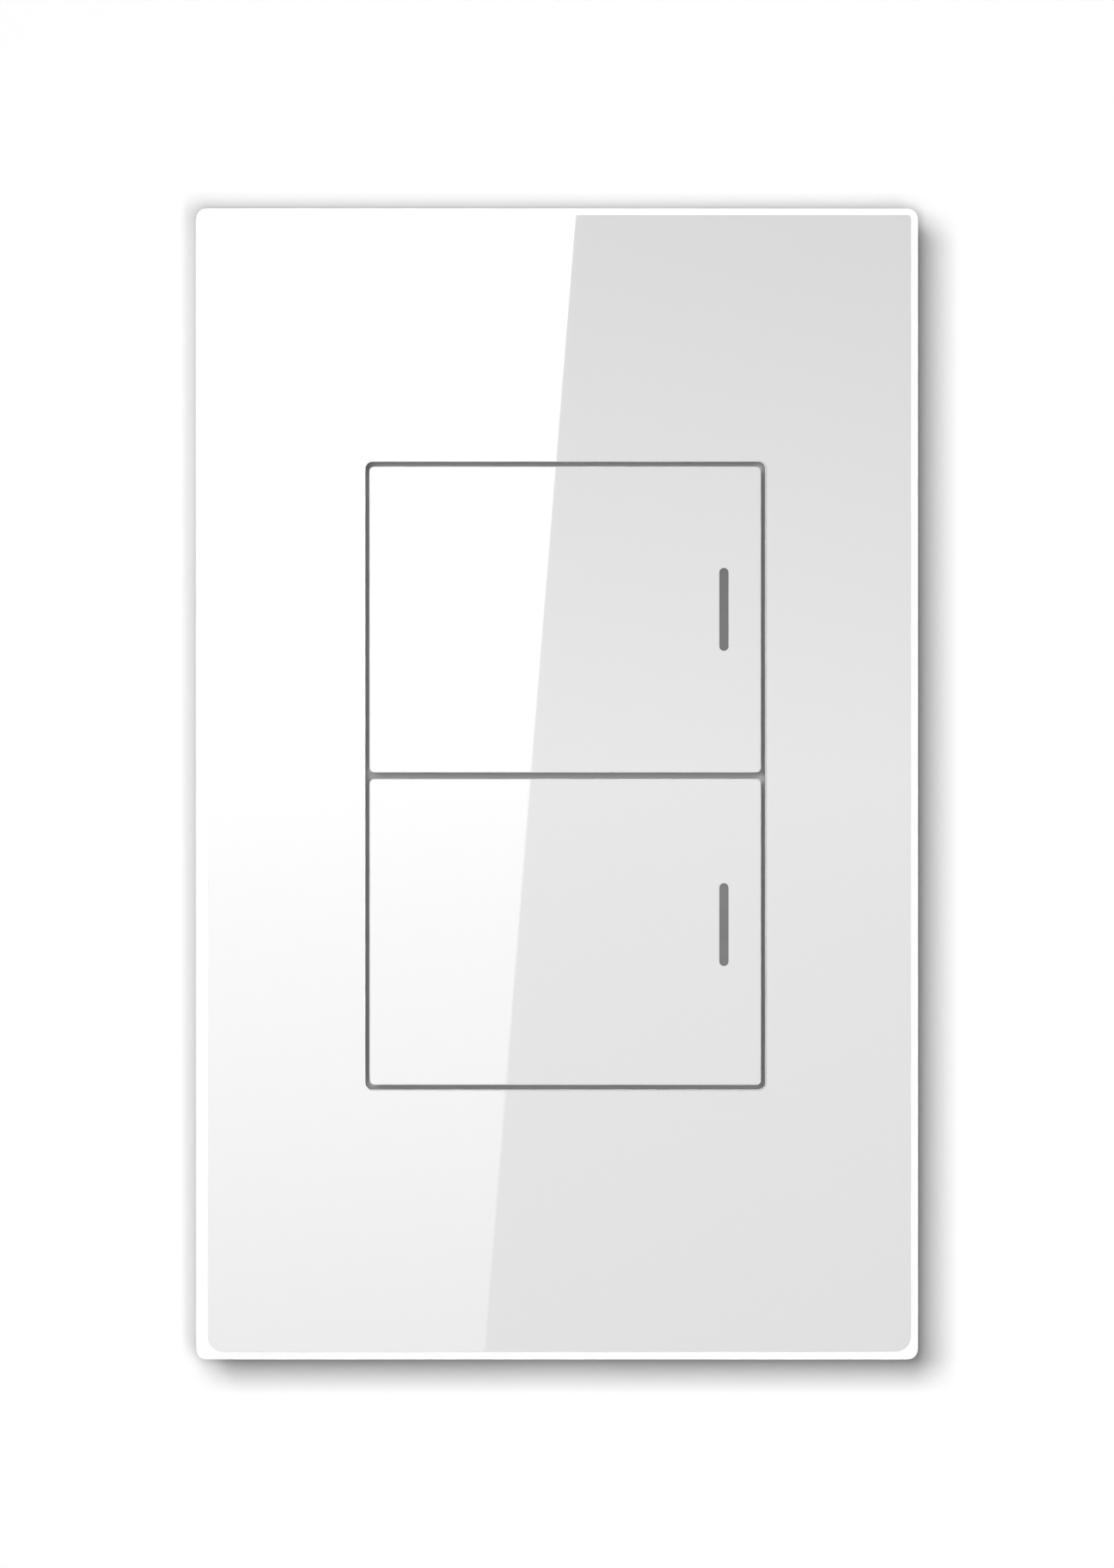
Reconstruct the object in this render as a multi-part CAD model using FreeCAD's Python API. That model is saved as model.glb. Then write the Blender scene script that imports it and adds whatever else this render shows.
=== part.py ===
import FreeCAD, Part
import math
import os

from FreeCAD import Vector

# Two-key smart wall switch for a 4x2 wall box. Millimetres.
# +X is right, +Z is up, the face looks along -Y and the wall plane is y = 0.
# The origin lies midway between the two wall-box screw slots, on the back of the yoke.

# Panel
PLATE_W = 74.0
PLATE_H = 118.0
PLATE_R = 1.1
FACE_STANDOFF = 9.2      # wall plane to the glossy face
GLASS_T = 2.0
BEVEL_T = 0.6            # how far back the ground bevel runs
BEVEL_LEFT = 1.27
BEVEL_RIGHT = 0.75
BEVEL_TOP = 0.72
BEVEL_BOTTOM = 0.83
FACE_R_TOP = 0.35        # corners of the flat face, inside the bevel
FACE_R_BOTTOM = 1.6
EDGE_BREAK = 0.1         # polished chamfer along the key opening and the keys
TAPE_T = 0.25
TAPE_INSET = 2.0
FRAME_INSET = 0.35       # the moulded frame stays this far inside the glass
FRAME_T = 1.6
FRAME_WALL = 1.5
FRAME_R = 1.0
RIB_T = 1.0
RIB_H = 1.3
RIB_END_X = 14.0         # upright ribs above and below the keys
RIB_SIDE_Z = 18.0        # level ribs beside the keys
NOTCH_W = 10.0           # pry notch in the lower edge
NOTCH_H = 1.6
NOTCH_PAST = 0.5         # notch into the shell's hollow
PEG_IN_SIDE = 8.5        # push-in pegs that hold the panel, from its edges
PEG_IN_END = 12.5
PEG_R = 1.6
PEG_BOSS_R = 2.6
PEG_FIT = 0.05
PANEL_PLAY = 0.3         # panel to the parts that it slides over

# Key field, a little off the plate's centre
FIELD_X = 0.84
FIELD_Z = 0.85
OPEN_W = 40.96
OPEN_H = 64.3
OPEN_R = 0.7
GROOVE_SIDE = 0.41
GROOVE_END = 0.45
KEY_GAP = 0.61
KEY_R = 0.5
KEY_WALL = 1.4
SKIRT_INSET = 0.5
SKIRT_T = 1.0
SKIRT_PLAY = 0.2
KEY_TRAVEL_ROOM = 0.8    # skirt's end to the carrier plate

# Key hinge, at the left edge of each key
HINGE_IN = 3.2           # hinge line from the key's left edge
HINGE_R = 0.8
HINGE_FIT = 0.05
HINGE_SEAT_FIT = 0.02
LUG_R = 1.5
LUG_T = 2.4
LUG_Z = 6.0
BRACKET_Z = 11.0
LUG_CLEAR = 0.3          # lug to the carrier plate

# Indicator bars
BAR_IN = 3.81            # bar's middle from the key's right edge
BAR_RISE = {"upper": 1.04, "lower": 0.75}
BAR_W = 0.94
BAR_L = 8.5
BAR_FIT = 0.02
BAR_FLANGE = 0.7
BAR_FLANGE_T = 0.7
BAR_STEM_W = 1.4
BAR_STEM_L = 6.0
BAR_STEM_T = 1.6

# Press point and return spring of each key
PRESS_ARM = 22.0         # hinge line to the switch plunger
POST_R = 1.0
POST_GAP = 0.05
SPRING_Z = 8.6           # spring above the press point
SPRING_WIRE = 0.4
SPRING_D = 3.8           # mean coil diameter
SPRING_TURNS = 3.5
SPRING_SEAT = 0.02
SPRING_PLAY = 0.3
CUP_T = 0.6
CUP_H = 0.9
PIP_H = 1.4
HOOK_ARM = 29.0          # hinge line to the retaining hooks
HOOK_Z = 11.0
HOOK_W = 4.0
HOOK_T = 1.2
HOOK_BARB = 0.8
HOOK_BARB_T = 0.8
HOOK_PLAY = 0.3
HOOK_SEAT = 0.05

# Key carrier
CARRIER_T = 1.2
CARRIER_WALL = 1.2
CARRIER_WALL_GAP = 0.2   # wall top to the back of the glass
CARRIER_SCREW_IN = 2.0   # from the flange's edges
CARRIER_SCREW_R = 0.9
CARRIER_SCREW_HEAD_R = 1.6
CARRIER_SCREW_HEAD_H = 0.8
CARRIER_SCREW_BITE = 0.9 # into the yoke
SCREW_FIT = 0.1
CROSS_REACH = 0.62       # cross recess, as shares of the head's radius and height
CROSS_HALF = 0.14
CROSS_DEPTH = 0.55

# Yoke
YOKE_IN_SIDE = 4.0       # yoke inside the panel's outline
YOKE_IN_END = 5.0
YOKE_R = 4.0
YOKE_T = 1.2
BOX_SCREW_PITCH = 83.3
SLOT_W = 4.5
SLOT_L = 7.5
GROMMET_R = 3.2
GROMMET_NECK_R = 2.2
GROMMET_H = 2.4

# Housings
HOUSING_W = 50.0
HOUSING_H = 66.0
HOUSING_R = 2.5
HOUSING_WALL = 1.6
HOUSING_DEPTH = 25.0
FLANGE_OVER = 2.0        # front housing's flange past the rear housing
FLANGE_T = 1.2
RING_PLAY = 0.2
RING_T = 1.4
POST_IN = 3.4            # corner posts from the housing's inner walls
CORNER_POST_R = 3.0
CORNER_BOSS_R = 2.6
HOUSING_SCREW_R = 1.1
HOUSING_SCREW_L = 9.0
SCREW_END_ROOM = 0.5     # screw's end to the bottom of its hole
HOUSING_SCREW_HEAD_R = 1.9
HOUSING_SCREW_HEAD_H = 1.0
VENT_W = 1.4
VENT_END_GAP = 1.4       # vent to the rib and to the corner boss
VENT_PAST = 0.1
VENT_PITCH = 3.6
VENT_COUNT = 4
LABEL_W = 30.0
LABEL_H = 22.0
LABEL_DEPTH = 0.3
LABEL_R = 1.0

# Boards
LOGIC_SETBACK = 2.4      # wall plane to the logic board
LOGIC_T = 1.2
BOARD_PLAY = 0.4
BOARD_R = 1.0
BOARD_GAP = 3.0          # between the two boards
POWER_T = 1.6
REST_W = 1.2             # ribs that the power board lies on
REST_Z = 10.0
BOARD_SCREW_X = 9.0
BOARD_SCREW_IN = 4.6
BOARD_SCREW_R = 0.9
BOARD_SCREW_HEAD_R = 1.7
BOARD_SCREW_HEAD_H = 0.8
BOARD_SCREW_END = 0.3    # screw's end behind the flange
BOARD_POST_R = 2.0

# Push switches and lamps on the logic board
TACT_W = 6.0
TACT_BODY_GAP = 0.1      # switch body to the front plate
PLUNGER_R = 1.6
PLUNGER_FIT = 0.08
PLUNGER_OUT = 0.6        # plunger ahead of the carrier plate
PLUNGER_IN = 1.4         # plunger inside the switch body
PLUNGER_ROOM = 0.6
PLUNGER_HOLE_PLAY = 0.5
LED_W = 1.6
LED_L = 3.2
LED_T = 0.8
LENS_W = 1.28
LENS_L = 2.24
LENS_R = 0.32

# Control side of the logic board, from its edges
CHIP_IN = 11.0
CHIP_UP = 25.0
CHIP_W = 7.0             # over the leads
CHIP_T = 1.0
CHIP_LEADS = 6           # on each side
CHIP_LEAD_PITCH = 0.9
CHIP_LEAD_W = 0.4
CHIP_LEAD_L = 0.5
CHIP_LEAD_T = 0.3
CHIP_STANDOFF = 0.1
CHIP_R = 0.2
RADIO_X = 3.0
RADIO_DROP = 12.0
RADIO_W = 16.0
RADIO_H = 20.0
RADIO_T = 0.8
RADIO_R = 0.4
SHIELD_W = 13.0
SHIELD_H = 12.0
SHIELD_T = 1.8
SHIELD_WALL = 0.3
SHIELD_R = 0.6
SHIELD_DROP = 2.6        # shield below the radio board's middle
HEADER_X = 4.0
HEADER_UP = 7.0
HEADER_L = 12.0
HEADER_W = 4.4
HEADER_R = 0.3

# Power side, from the housing's walls, its shelf over the terminals and its corner bosses
REAR_ROOM = 0.6          # tallest parts to the rear wall
RELAY_IN = 10.0          # relay's middle from the side wall
RELAY_W = 10.0
RELAY_LIP_T = 1.2
RELAY_LIP = 0.2
RELAY_LOW_GAP = 2.6
RELAY_MID_GAP = 1.8
RELAY_HIGH_GAP = 1.1
RELAY_R = 0.8
RELAY_LIP_R = 0.5
CORE_UP = 10.3
CORE_W = 13.0
CORE_H = 11.0
CORE_T = 5.4
CORE_LIMB = 2.6
CORE_STANDOFF = 3.6
CORE_R = 0.3
WINDING_PLAY = 0.3
BULK_IN = 7.2
BULK_UP = 7.7
BULK_R = 5.0
BULK_REAR_ROOM = 1.2
OUTPUT_IN = 5.6
OUTPUT_GAP = 4.25        # between the two round capacitors
OUTPUT_R = 3.15
OUTPUT_L = 11.0
CRIMP_SHARE = 0.08       # depth of a capacitor's crimp, as a share of its radius
CRIMP_LOW = 1.2
CRIMP_HIGH = 2.0
VARISTOR_GAP = 0.9       # to the fuse
VARISTOR_DROP = 2.0      # below the middle of the upper bosses
VARISTOR_R = 4.5
VARISTOR_T = 3.4
VARISTOR_STANDOFF = 1.5
LEAD_R = 0.35
FUSE_IN = 7.6            # from the upper right boss
FUSE_DROP = 2.8
FUSE_W = 8.0
FUSE_H = 4.0
FUSE_T = 7.0
FUSE_R = 0.8
FILM_IN = 14.0
FILM_DROP = 14.4
FILM_W = 18.0
FILM_H = 7.5
FILM_T = 12.5
FILM_R = 0.6
BRIDGE_IN = 1.0
BRIDGE_DROP = 12.6
BRIDGE_W = 6.0
BRIDGE_T = 2.6
BRIDGE_R = 0.3
SUPPLY_X = -2.0
SUPPLY_GAP = 4.4         # below the radio's shield
SUPPLY_W = 5.0
SUPPLY_H = 4.0
SUPPLY_T = 1.5
SUPPLY_R = 0.2

# Terminals
POLES = 4
POLE_PITCH = 9.0
BLOCK_END = 1.0
BLOCK_H = 11.9
BLOCK_PLAY = 0.2
BLOCK_OUT = 0.4          # block's faces below the housing's
STEP_FLOOR = 1.4
STEP_GAP = 0.2
BLOCK_FLOOR = 0.8
BLOCK_FACE = 1.2
BLOCK_BACK = 1.0
WEB_T = 0.6
CAGE_W = 4.6             # inside width, for the wire
CAGE_OPEN = 4.6          # inside depth, for the wire
CAGE_T = 0.8
CAGE_TOP_T = 1.6
CAGE_L = 5.6
CAGE_PLAY = 0.1
BUS_T = 1.0
BUS_PLAY = 0.3
BUS_TAIL_W = 2.0
CLAMP_SCREW_R = 1.45
CLAMP_SCREW_FIT = 0.05
CLAMP_SCREW_HEAD_R = 2.2
CLAMP_SCREW_HEAD_H = 1.6
CLAMP_SCREW_SLOT = 0.7
WELL_PLAY = 0.2
WELL_DEPTH = 2.1

PAST = 1.0               # cuts run this far past a face

# Planes, front to back
FACE_Y = -FACE_STANDOFF
GLASS_BACK_Y = FACE_Y + GLASS_T
TAPE_BACK_Y = GLASS_BACK_Y + TAPE_T
FRAME_BACK_Y = TAPE_BACK_Y + FRAME_T
WALL_TOP_Y = GLASS_BACK_Y + CARRIER_WALL_GAP
YOKE_FRONT_Y = -YOKE_T
FLANGE_FRONT_Y = YOKE_FRONT_Y - FLANGE_T
CARRIER_FRONT_Y = FLANGE_FRONT_Y - CARRIER_T
KEY_BACK_Y = FACE_Y + KEY_WALL
SKIRT_END_Y = CARRIER_FRONT_Y - KEY_TRAVEL_ROOM
HINGE_Y = CARRIER_FRONT_Y - LUG_CLEAR - LUG_R
LOGIC_Y = LOGIC_SETBACK
LOGIC_BACK_Y = LOGIC_Y + LOGIC_T
POWER_Y = LOGIC_BACK_Y + BOARD_GAP
POWER_BACK_Y = POWER_Y + POWER_T
STEP_FRONT_Y = POWER_BACK_Y + STEP_GAP
STEP_BACK_Y = STEP_FRONT_Y + STEP_FLOOR
BLOCK_REAR_Y = HOUSING_DEPTH - BLOCK_OUT

# Clamp levels inside the terminal block
CAGE_FRONT_Y = STEP_BACK_Y + BLOCK_FLOOR + CAGE_PLAY
WIRE_FRONT_Y = CAGE_FRONT_Y + CAGE_T
BUS_Y = WIRE_FRONT_Y + CAGE_OPEN
BUS_BACK_Y = BUS_Y + BUS_T
CAGE_TOP_Y = BUS_BACK_Y + BUS_PLAY
CAGE_BACK_Y = CAGE_TOP_Y + CAGE_TOP_T
WELL_Y = BLOCK_REAR_Y - WELL_DEPTH
CAVITY_BACK_Y = WELL_Y - WEB_T
CLAMP_LIFT = CAVITY_BACK_Y - CAGE_PLAY - CAGE_BACK_Y

# Places across the face
KEY_W = OPEN_W - 2 * GROOVE_SIDE
KEY_H = (OPEN_H - 2 * GROOVE_END - KEY_GAP) / 2
KEY_Z = {
    "upper": FIELD_Z + (KEY_H + KEY_GAP) / 2,
    "lower": FIELD_Z - (KEY_H + KEY_GAP) / 2,
}
KEY_LEFT = FIELD_X - KEY_W / 2
KEY_RIGHT = FIELD_X + KEY_W / 2
HINGE_X = KEY_LEFT + HINGE_IN
PRESS_X = HINGE_X + PRESS_ARM
HOOK_X = HINGE_X + HOOK_ARM
BAR_X = KEY_RIGHT - BAR_IN
WALL_INSET = SKIRT_INSET - SKIRT_PLAY
PEG_X = PLATE_W / 2 - PEG_IN_SIDE
PEG_Z = PLATE_H / 2 - PEG_IN_END
YOKE_W = PLATE_W - 2 * YOKE_IN_SIDE
YOKE_H = PLATE_H - 2 * YOKE_IN_END
FLANGE_W = HOUSING_W + 2 * FLANGE_OVER
FLANGE_H = HOUSING_H + 2 * FLANGE_OVER
INNER_W = HOUSING_W - 2 * HOUSING_WALL
INNER_H = HOUSING_H - 2 * HOUSING_WALL
POST_X = INNER_W / 2 - POST_IN
POST_Z = INNER_H / 2 - POST_IN
BOARD_W = INNER_W - 2 * BOARD_PLAY
BOARD_H = INNER_H - 2 * BOARD_PLAY
BLOCK_LOW_Z = -HOUSING_H / 2 + BLOCK_OUT
STEP_Z = BLOCK_LOW_Z + BLOCK_H + BLOCK_PLAY
SHELF_Z = STEP_Z + HOUSING_WALL
BLOCK_W = POLES * POLE_PITCH + 2 * BLOCK_END
CAGE_LOW_Z = BLOCK_LOW_Z + BLOCK_FACE + CAGE_PLAY
POLE_Z = CAGE_LOW_Z + CAGE_L / 2
POLE_X = [(i - (POLES - 1) / 2) * POLE_PITCH for i in range(POLES)]
CORNERS = [(-1, 1), (1, 1), (1, -1), (-1, -1)]
KEYS = ["upper", "lower"]

# Places on the boards
CHIP_X = -BOARD_W / 2 + CHIP_IN
CHIP_Z = -BOARD_H / 2 + CHIP_UP
RADIO_Z = BOARD_H / 2 - RADIO_DROP
SHIELD_Z = RADIO_Z - SHIELD_DROP
HEADER_Z = -BOARD_H / 2 + HEADER_UP
SUPPLY_Z = SHIELD_Z - SHIELD_H / 2 - SUPPLY_GAP - SUPPLY_H / 2
REAR_WALL_Y = HOUSING_DEPTH - HOUSING_WALL
BOSS_LOW_Z = POST_Z - CORNER_BOSS_R
RELAY_X = -INNER_W / 2 + RELAY_IN
RELAY_H = (BOSS_LOW_Z - SHELF_Z - RELAY_LOW_GAP - RELAY_MID_GAP - RELAY_HIGH_GAP) / 2
RELAY_Z = {
    "upper": BOSS_LOW_Z - RELAY_HIGH_GAP - RELAY_H / 2,
    "lower": SHELF_Z + RELAY_LOW_GAP + RELAY_H / 2,
}
BULK_X = INNER_W / 2 - BULK_IN
CORE_X = (RELAY_X + RELAY_W / 2 + BULK_X - BULK_R) / 2
CORE_Y = POWER_BACK_Y + CORE_STANDOFF
CORE_Z = SHELF_Z + CORE_UP
CORE_WINDOW_W = (CORE_W - 3 * CORE_LIMB) / 2
BULK_Z = SHELF_Z + BULK_UP
BULK_L = REAR_WALL_Y - BULK_REAR_ROOM - POWER_BACK_Y
OUTPUT_X = INNER_W / 2 - OUTPUT_IN
OUTPUT_Z = BULK_Z + BULK_R + OUTPUT_GAP + OUTPUT_R
FUSE_X = POST_X - FUSE_IN
FUSE_Z = POST_Z - FUSE_DROP
VARISTOR_X = FUSE_X - FUSE_W / 2 - VARISTOR_GAP - VARISTOR_R
VARISTOR_Z = POST_Z - VARISTOR_DROP
FILM_X = POST_X - FILM_IN
FILM_Z = POST_Z - FILM_DROP
BRIDGE_X = POST_X - BRIDGE_IN
BRIDGE_Z = POST_Z - BRIDGE_DROP


def box(x0, x1, y0, y1, z0, z1):
    """Block between two opposite corners."""
    return Part.makeBox(x1 - x0, y1 - y0, z1 - z0, Vector(x0, y0, z0))


def rod(x, z, radius, y0, y1):
    """Round bar along Y."""
    return Part.makeCylinder(radius, y1 - y0, Vector(x, y0, z), Vector(0, 1, 0))


def rod_z(x, y, radius, z0, z1):
    """Round bar along Z."""
    return Part.makeCylinder(radius, z1 - z0, Vector(x, y, z0), Vector(0, 0, 1))


def same(radius):
    """The same radius for all four corners."""
    return (radius, radius, radius, radius)


def rounded_wire(cx, cz, width, height, radii, y):
    """Rounded rectangle in a plane across Y. Radii: top left, top right, bottom right, bottom left."""
    left = cx - width / 2
    right = cx + width / 2
    low = cz - height / 2
    high = cz + height / 2
    top_left, top_right, low_right, low_left = radii
    corners = [
        (right - low_right, low + low_right, low_right, -90.0),
        (right - top_right, high - top_right, top_right, 0.0),
        (left + top_left, high - top_left, top_left, 90.0),
        (left + low_left, low + low_left, low_left, 180.0),
    ]
    edges = []
    first = None
    last = None
    for x, z, radius, start in corners:
        points = []
        for turn in (0.0, 45.0, 90.0):
            angle = math.radians(start + turn)
            points.append(Vector(x + radius * math.cos(angle), y, z + radius * math.sin(angle)))
        if last is not None and last.distanceToPoint(points[0]) > 1e-6:
            edges.append(Part.LineSegment(last, points[0]).toShape())
        if first is None:
            first = points[0]
        edges.append(Part.Arc(points[0], points[1], points[2]).toShape())
        last = points[2]
    if last.distanceToPoint(first) > 1e-6:
        edges.append(Part.LineSegment(last, first).toShape())
    return Part.Wire(edges)


def slab(cx, cz, width, height, radius, y0, y1):
    """Rounded plate between two planes across Y."""
    face = Part.Face(rounded_wire(cx, cz, width, height, same(radius), y0))
    return face.extrude(Vector(0, y1 - y0, 0))


def stadium(cx, cz, width, height, y0, y1):
    """Upright plate with half-round ends."""
    return slab(cx, cz, width, height, width / 2, y0, y1)


def loft(wires):
    """Straight-sided solid through a row of outlines."""
    return Part.makeLoft(wires, True, True)


def joined(shapes):
    """One clean solid from pieces that touch or overlap."""
    return shapes[0].multiFuse(shapes[1:]).removeSplitter()


def less(shape, tools):
    """A shape with all the tools cut away."""
    return shape.cut(Part.makeCompound(tools)) if len(tools) > 1 else shape.cut(tools[0])


def save(name, shape):
    """Write one sub-part."""
    shape.exportStep(os.path.join("parts", name + ".step"))


def glass_panel():
    """Glossy plate with a ground bevel, wider at the left, and the opening for the keys."""
    face_w = PLATE_W - BEVEL_LEFT - BEVEL_RIGHT
    face_h = PLATE_H - BEVEL_TOP - BEVEL_BOTTOM
    face_x = (BEVEL_LEFT - BEVEL_RIGHT) / 2
    face_z = (BEVEL_BOTTOM - BEVEL_TOP) / 2
    face_radii = (FACE_R_TOP, FACE_R_TOP, FACE_R_BOTTOM, FACE_R_BOTTOM)
    body = loft([
        rounded_wire(0, 0, PLATE_W, PLATE_H, same(PLATE_R), GLASS_BACK_Y),
        rounded_wire(0, 0, PLATE_W, PLATE_H, same(PLATE_R), FACE_Y + BEVEL_T),
        rounded_wire(face_x, face_z, face_w, face_h, face_radii, FACE_Y),
    ])
    wide = 2 * EDGE_BREAK
    opening = loft([
        rounded_wire(FIELD_X, FIELD_Z, OPEN_W, OPEN_H, same(OPEN_R), GLASS_BACK_Y + PAST),
        rounded_wire(FIELD_X, FIELD_Z, OPEN_W, OPEN_H, same(OPEN_R), FACE_Y + EDGE_BREAK),
        rounded_wire(FIELD_X, FIELD_Z, OPEN_W + wide, OPEN_H + wide, same(OPEN_R + EDGE_BREAK), FACE_Y),
        rounded_wire(FIELD_X, FIELD_Z, OPEN_W + wide, OPEN_H + wide, same(OPEN_R + EDGE_BREAK), FACE_Y - PAST),
    ])
    return body.cut(opening)


def carrier_outline():
    """Width and height of the carrier's wall round the keys, outside."""
    grow = 2 * (CARRIER_WALL - WALL_INSET)
    return KEY_W + grow, 2 * KEY_H + KEY_GAP + grow


def frame_opening():
    """Width and height of the panel frame's opening."""
    width, height = carrier_outline()
    return width + 2 * PANEL_PLAY, height + 2 * PANEL_PLAY


def bonding_tape():
    """Ring of tape between the glass and the moulded frame."""
    width, height = frame_opening()
    outer = slab(0, 0, PLATE_W - 2 * TAPE_INSET, PLATE_H - 2 * TAPE_INSET, FRAME_R, GLASS_BACK_Y, TAPE_BACK_Y)
    inner = slab(FIELD_X, FIELD_Z, width + TAPE_INSET, height + TAPE_INSET, FRAME_R, GLASS_BACK_Y, TAPE_BACK_Y)
    return outer.cut(inner)


def panel_frame():
    """Moulded shell behind the glass, open at the wall, with ribs, pegs and a pry notch."""
    width = PLATE_W - 2 * FRAME_INSET
    height = PLATE_H - 2 * FRAME_INSET
    hollow_w = width - 2 * FRAME_WALL
    hollow_h = height - 2 * FRAME_WALL
    open_w, open_h = frame_opening()
    pieces = [less(slab(0, 0, width, height, FRAME_R, TAPE_BACK_Y, 0), [
        slab(0, 0, hollow_w, hollow_h, FRAME_R / 2, FRAME_BACK_Y, PAST),
        slab(FIELD_X, FIELD_Z, open_w, open_h, OPEN_R, TAPE_BACK_Y - PAST, FRAME_BACK_Y + PAST),
    ])]
    rib_back = FRAME_BACK_Y + RIB_H
    for side in (-1, 1):
        for level in (-1, 0, 1):
            near = FIELD_X + side * open_w / 2
            far = side * (hollow_w / 2 + FRAME_WALL / 2)
            z = level * RIB_SIDE_Z
            low = z - RIB_T / 2
            pieces.append(box(min(near, far), max(near, far), FRAME_BACK_Y, rib_back, low, low + RIB_T))
        for end in (-1, 1):
            near = FIELD_Z + end * open_h / 2
            far = end * (hollow_h / 2 + FRAME_WALL / 2)
            x = side * RIB_END_X
            left = x - RIB_T / 2
            pieces.append(box(left, left + RIB_T, FRAME_BACK_Y, rib_back, min(near, far), max(near, far)))
    boss_back = YOKE_FRONT_Y - GROMMET_H - PANEL_PLAY
    for side, end in CORNERS:
        pieces.append(rod(side * PEG_X, end * PEG_Z, PEG_BOSS_R, FRAME_BACK_Y - FRAME_T / 2, boss_back))
        pieces.append(rod(side * PEG_X, end * PEG_Z, PEG_R, FRAME_BACK_Y, YOKE_FRONT_Y + YOKE_T / 2))
    edge = -height / 2
    notch_high = edge + FRAME_WALL + NOTCH_PAST
    notch = box(-NOTCH_W / 2, NOTCH_W / 2, -NOTCH_H, PAST, edge - PAST, notch_high)
    return joined(pieces).cut(notch)


def key(which):
    """Hollow key cap with skirt, hinge lugs, press post, spring pip, hooks and the indicator slot."""
    z = KEY_Z[which]
    face_w = KEY_W - 2 * EDGE_BREAK
    face_h = KEY_H - 2 * EDGE_BREAK
    cap = loft([
        rounded_wire(FIELD_X, z, KEY_W, KEY_H, same(KEY_R), KEY_BACK_Y),
        rounded_wire(FIELD_X, z, KEY_W, KEY_H, same(KEY_R), FACE_Y + EDGE_BREAK),
        rounded_wire(FIELD_X, z, face_w, face_h, same(KEY_R - EDGE_BREAK), FACE_Y),
    ])
    skirt_w = KEY_W - 2 * SKIRT_INSET
    skirt_h = KEY_H - 2 * SKIRT_INSET
    skirt = slab(FIELD_X, z, skirt_w, skirt_h, KEY_R, KEY_BACK_Y, SKIRT_END_Y)
    hollow_w = skirt_w - 2 * SKIRT_T
    hollow_h = skirt_h - 2 * SKIRT_T
    hollow = slab(FIELD_X, z, hollow_w, hollow_h, KEY_R, KEY_BACK_Y, SKIRT_END_Y + PAST)
    pieces = [cap, skirt.cut(hollow)]
    for end in (-1, 1):
        lug_z = z + end * LUG_Z
        low = lug_z - LUG_T / 2
        high = lug_z + LUG_T / 2
        pieces.append(box(HINGE_X - LUG_R, HINGE_X + LUG_R, KEY_BACK_Y, HINGE_Y, low, high))
        pieces.append(rod_z(HINGE_X, HINGE_Y, LUG_R, low, high))
        hook_z = z + end * HOOK_Z
        barb_front = FLANGE_FRONT_Y + HOOK_SEAT
        barb_back = barb_front + HOOK_BARB_T
        arm = box(HOOK_X - HOOK_W / 2, HOOK_X + HOOK_W / 2, KEY_BACK_Y, barb_back,
                  hook_z - HOOK_T / 2, hook_z + HOOK_T / 2)
        near = hook_z + end * HOOK_T / 2
        points = [
            Vector(HOOK_X - HOOK_W / 2, barb_front, near),
            Vector(HOOK_X - HOOK_W / 2, barb_front, near + end * HOOK_BARB),
            Vector(HOOK_X - HOOK_W / 2, barb_back, near),
        ]
        barb = Part.Face(Part.makePolygon(points + points[:1])).extrude(Vector(HOOK_W, 0, 0))
        pieces.append(arm)
        pieces.append(barb)
    pieces.append(rod(PRESS_X, z, POST_R, KEY_BACK_Y, plunger_top() - POST_GAP))
    pieces.append(rod(PRESS_X, z + SPRING_Z, pip_radius(), KEY_BACK_Y, KEY_BACK_Y + PIP_H))
    solid = joined(pieces)
    reach = LUG_Z + LUG_T
    bore = rod_z(HINGE_X, HINGE_Y, HINGE_R + HINGE_FIT, z - reach, z + reach)
    slot = stadium(BAR_X, z + BAR_RISE[which], BAR_W, BAR_L, FACE_Y - PAST, KEY_BACK_Y + PAST)
    return less(solid, [bore, slot])


def pip_radius():
    """Radius of the pip that centres the return spring."""
    return SPRING_D / 2 - SPRING_WIRE / 2 - SPRING_PLAY


def plunger_top():
    """Plane of the switch plungers' tips."""
    return CARRIER_FRONT_Y - PLUNGER_OUT


def light_bar(which):
    """Light pipe: the bar that shows in the key's slot, its flange and the stem behind."""
    z = KEY_Z[which] + BAR_RISE[which]
    flange_y = KEY_BACK_Y + BAR_FLANGE_T
    return joined([
        stadium(BAR_X, z, BAR_W - 2 * BAR_FIT, BAR_L - 2 * BAR_FIT, FACE_Y, KEY_BACK_Y),
        stadium(BAR_X, z, BAR_W + 2 * BAR_FLANGE, BAR_L + 2 * BAR_FLANGE, KEY_BACK_Y, flange_y),
        stadium(BAR_X, z, BAR_STEM_W, BAR_STEM_L, flange_y, flange_y + BAR_STEM_T),
    ])


def hinge_pin(which):
    """Steel pin through the carrier's brackets and the key's lugs."""
    reach = BRACKET_Z + LUG_T / 2
    return rod_z(HINGE_X, HINGE_Y, HINGE_R, KEY_Z[which] - reach, KEY_Z[which] + reach)


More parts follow.
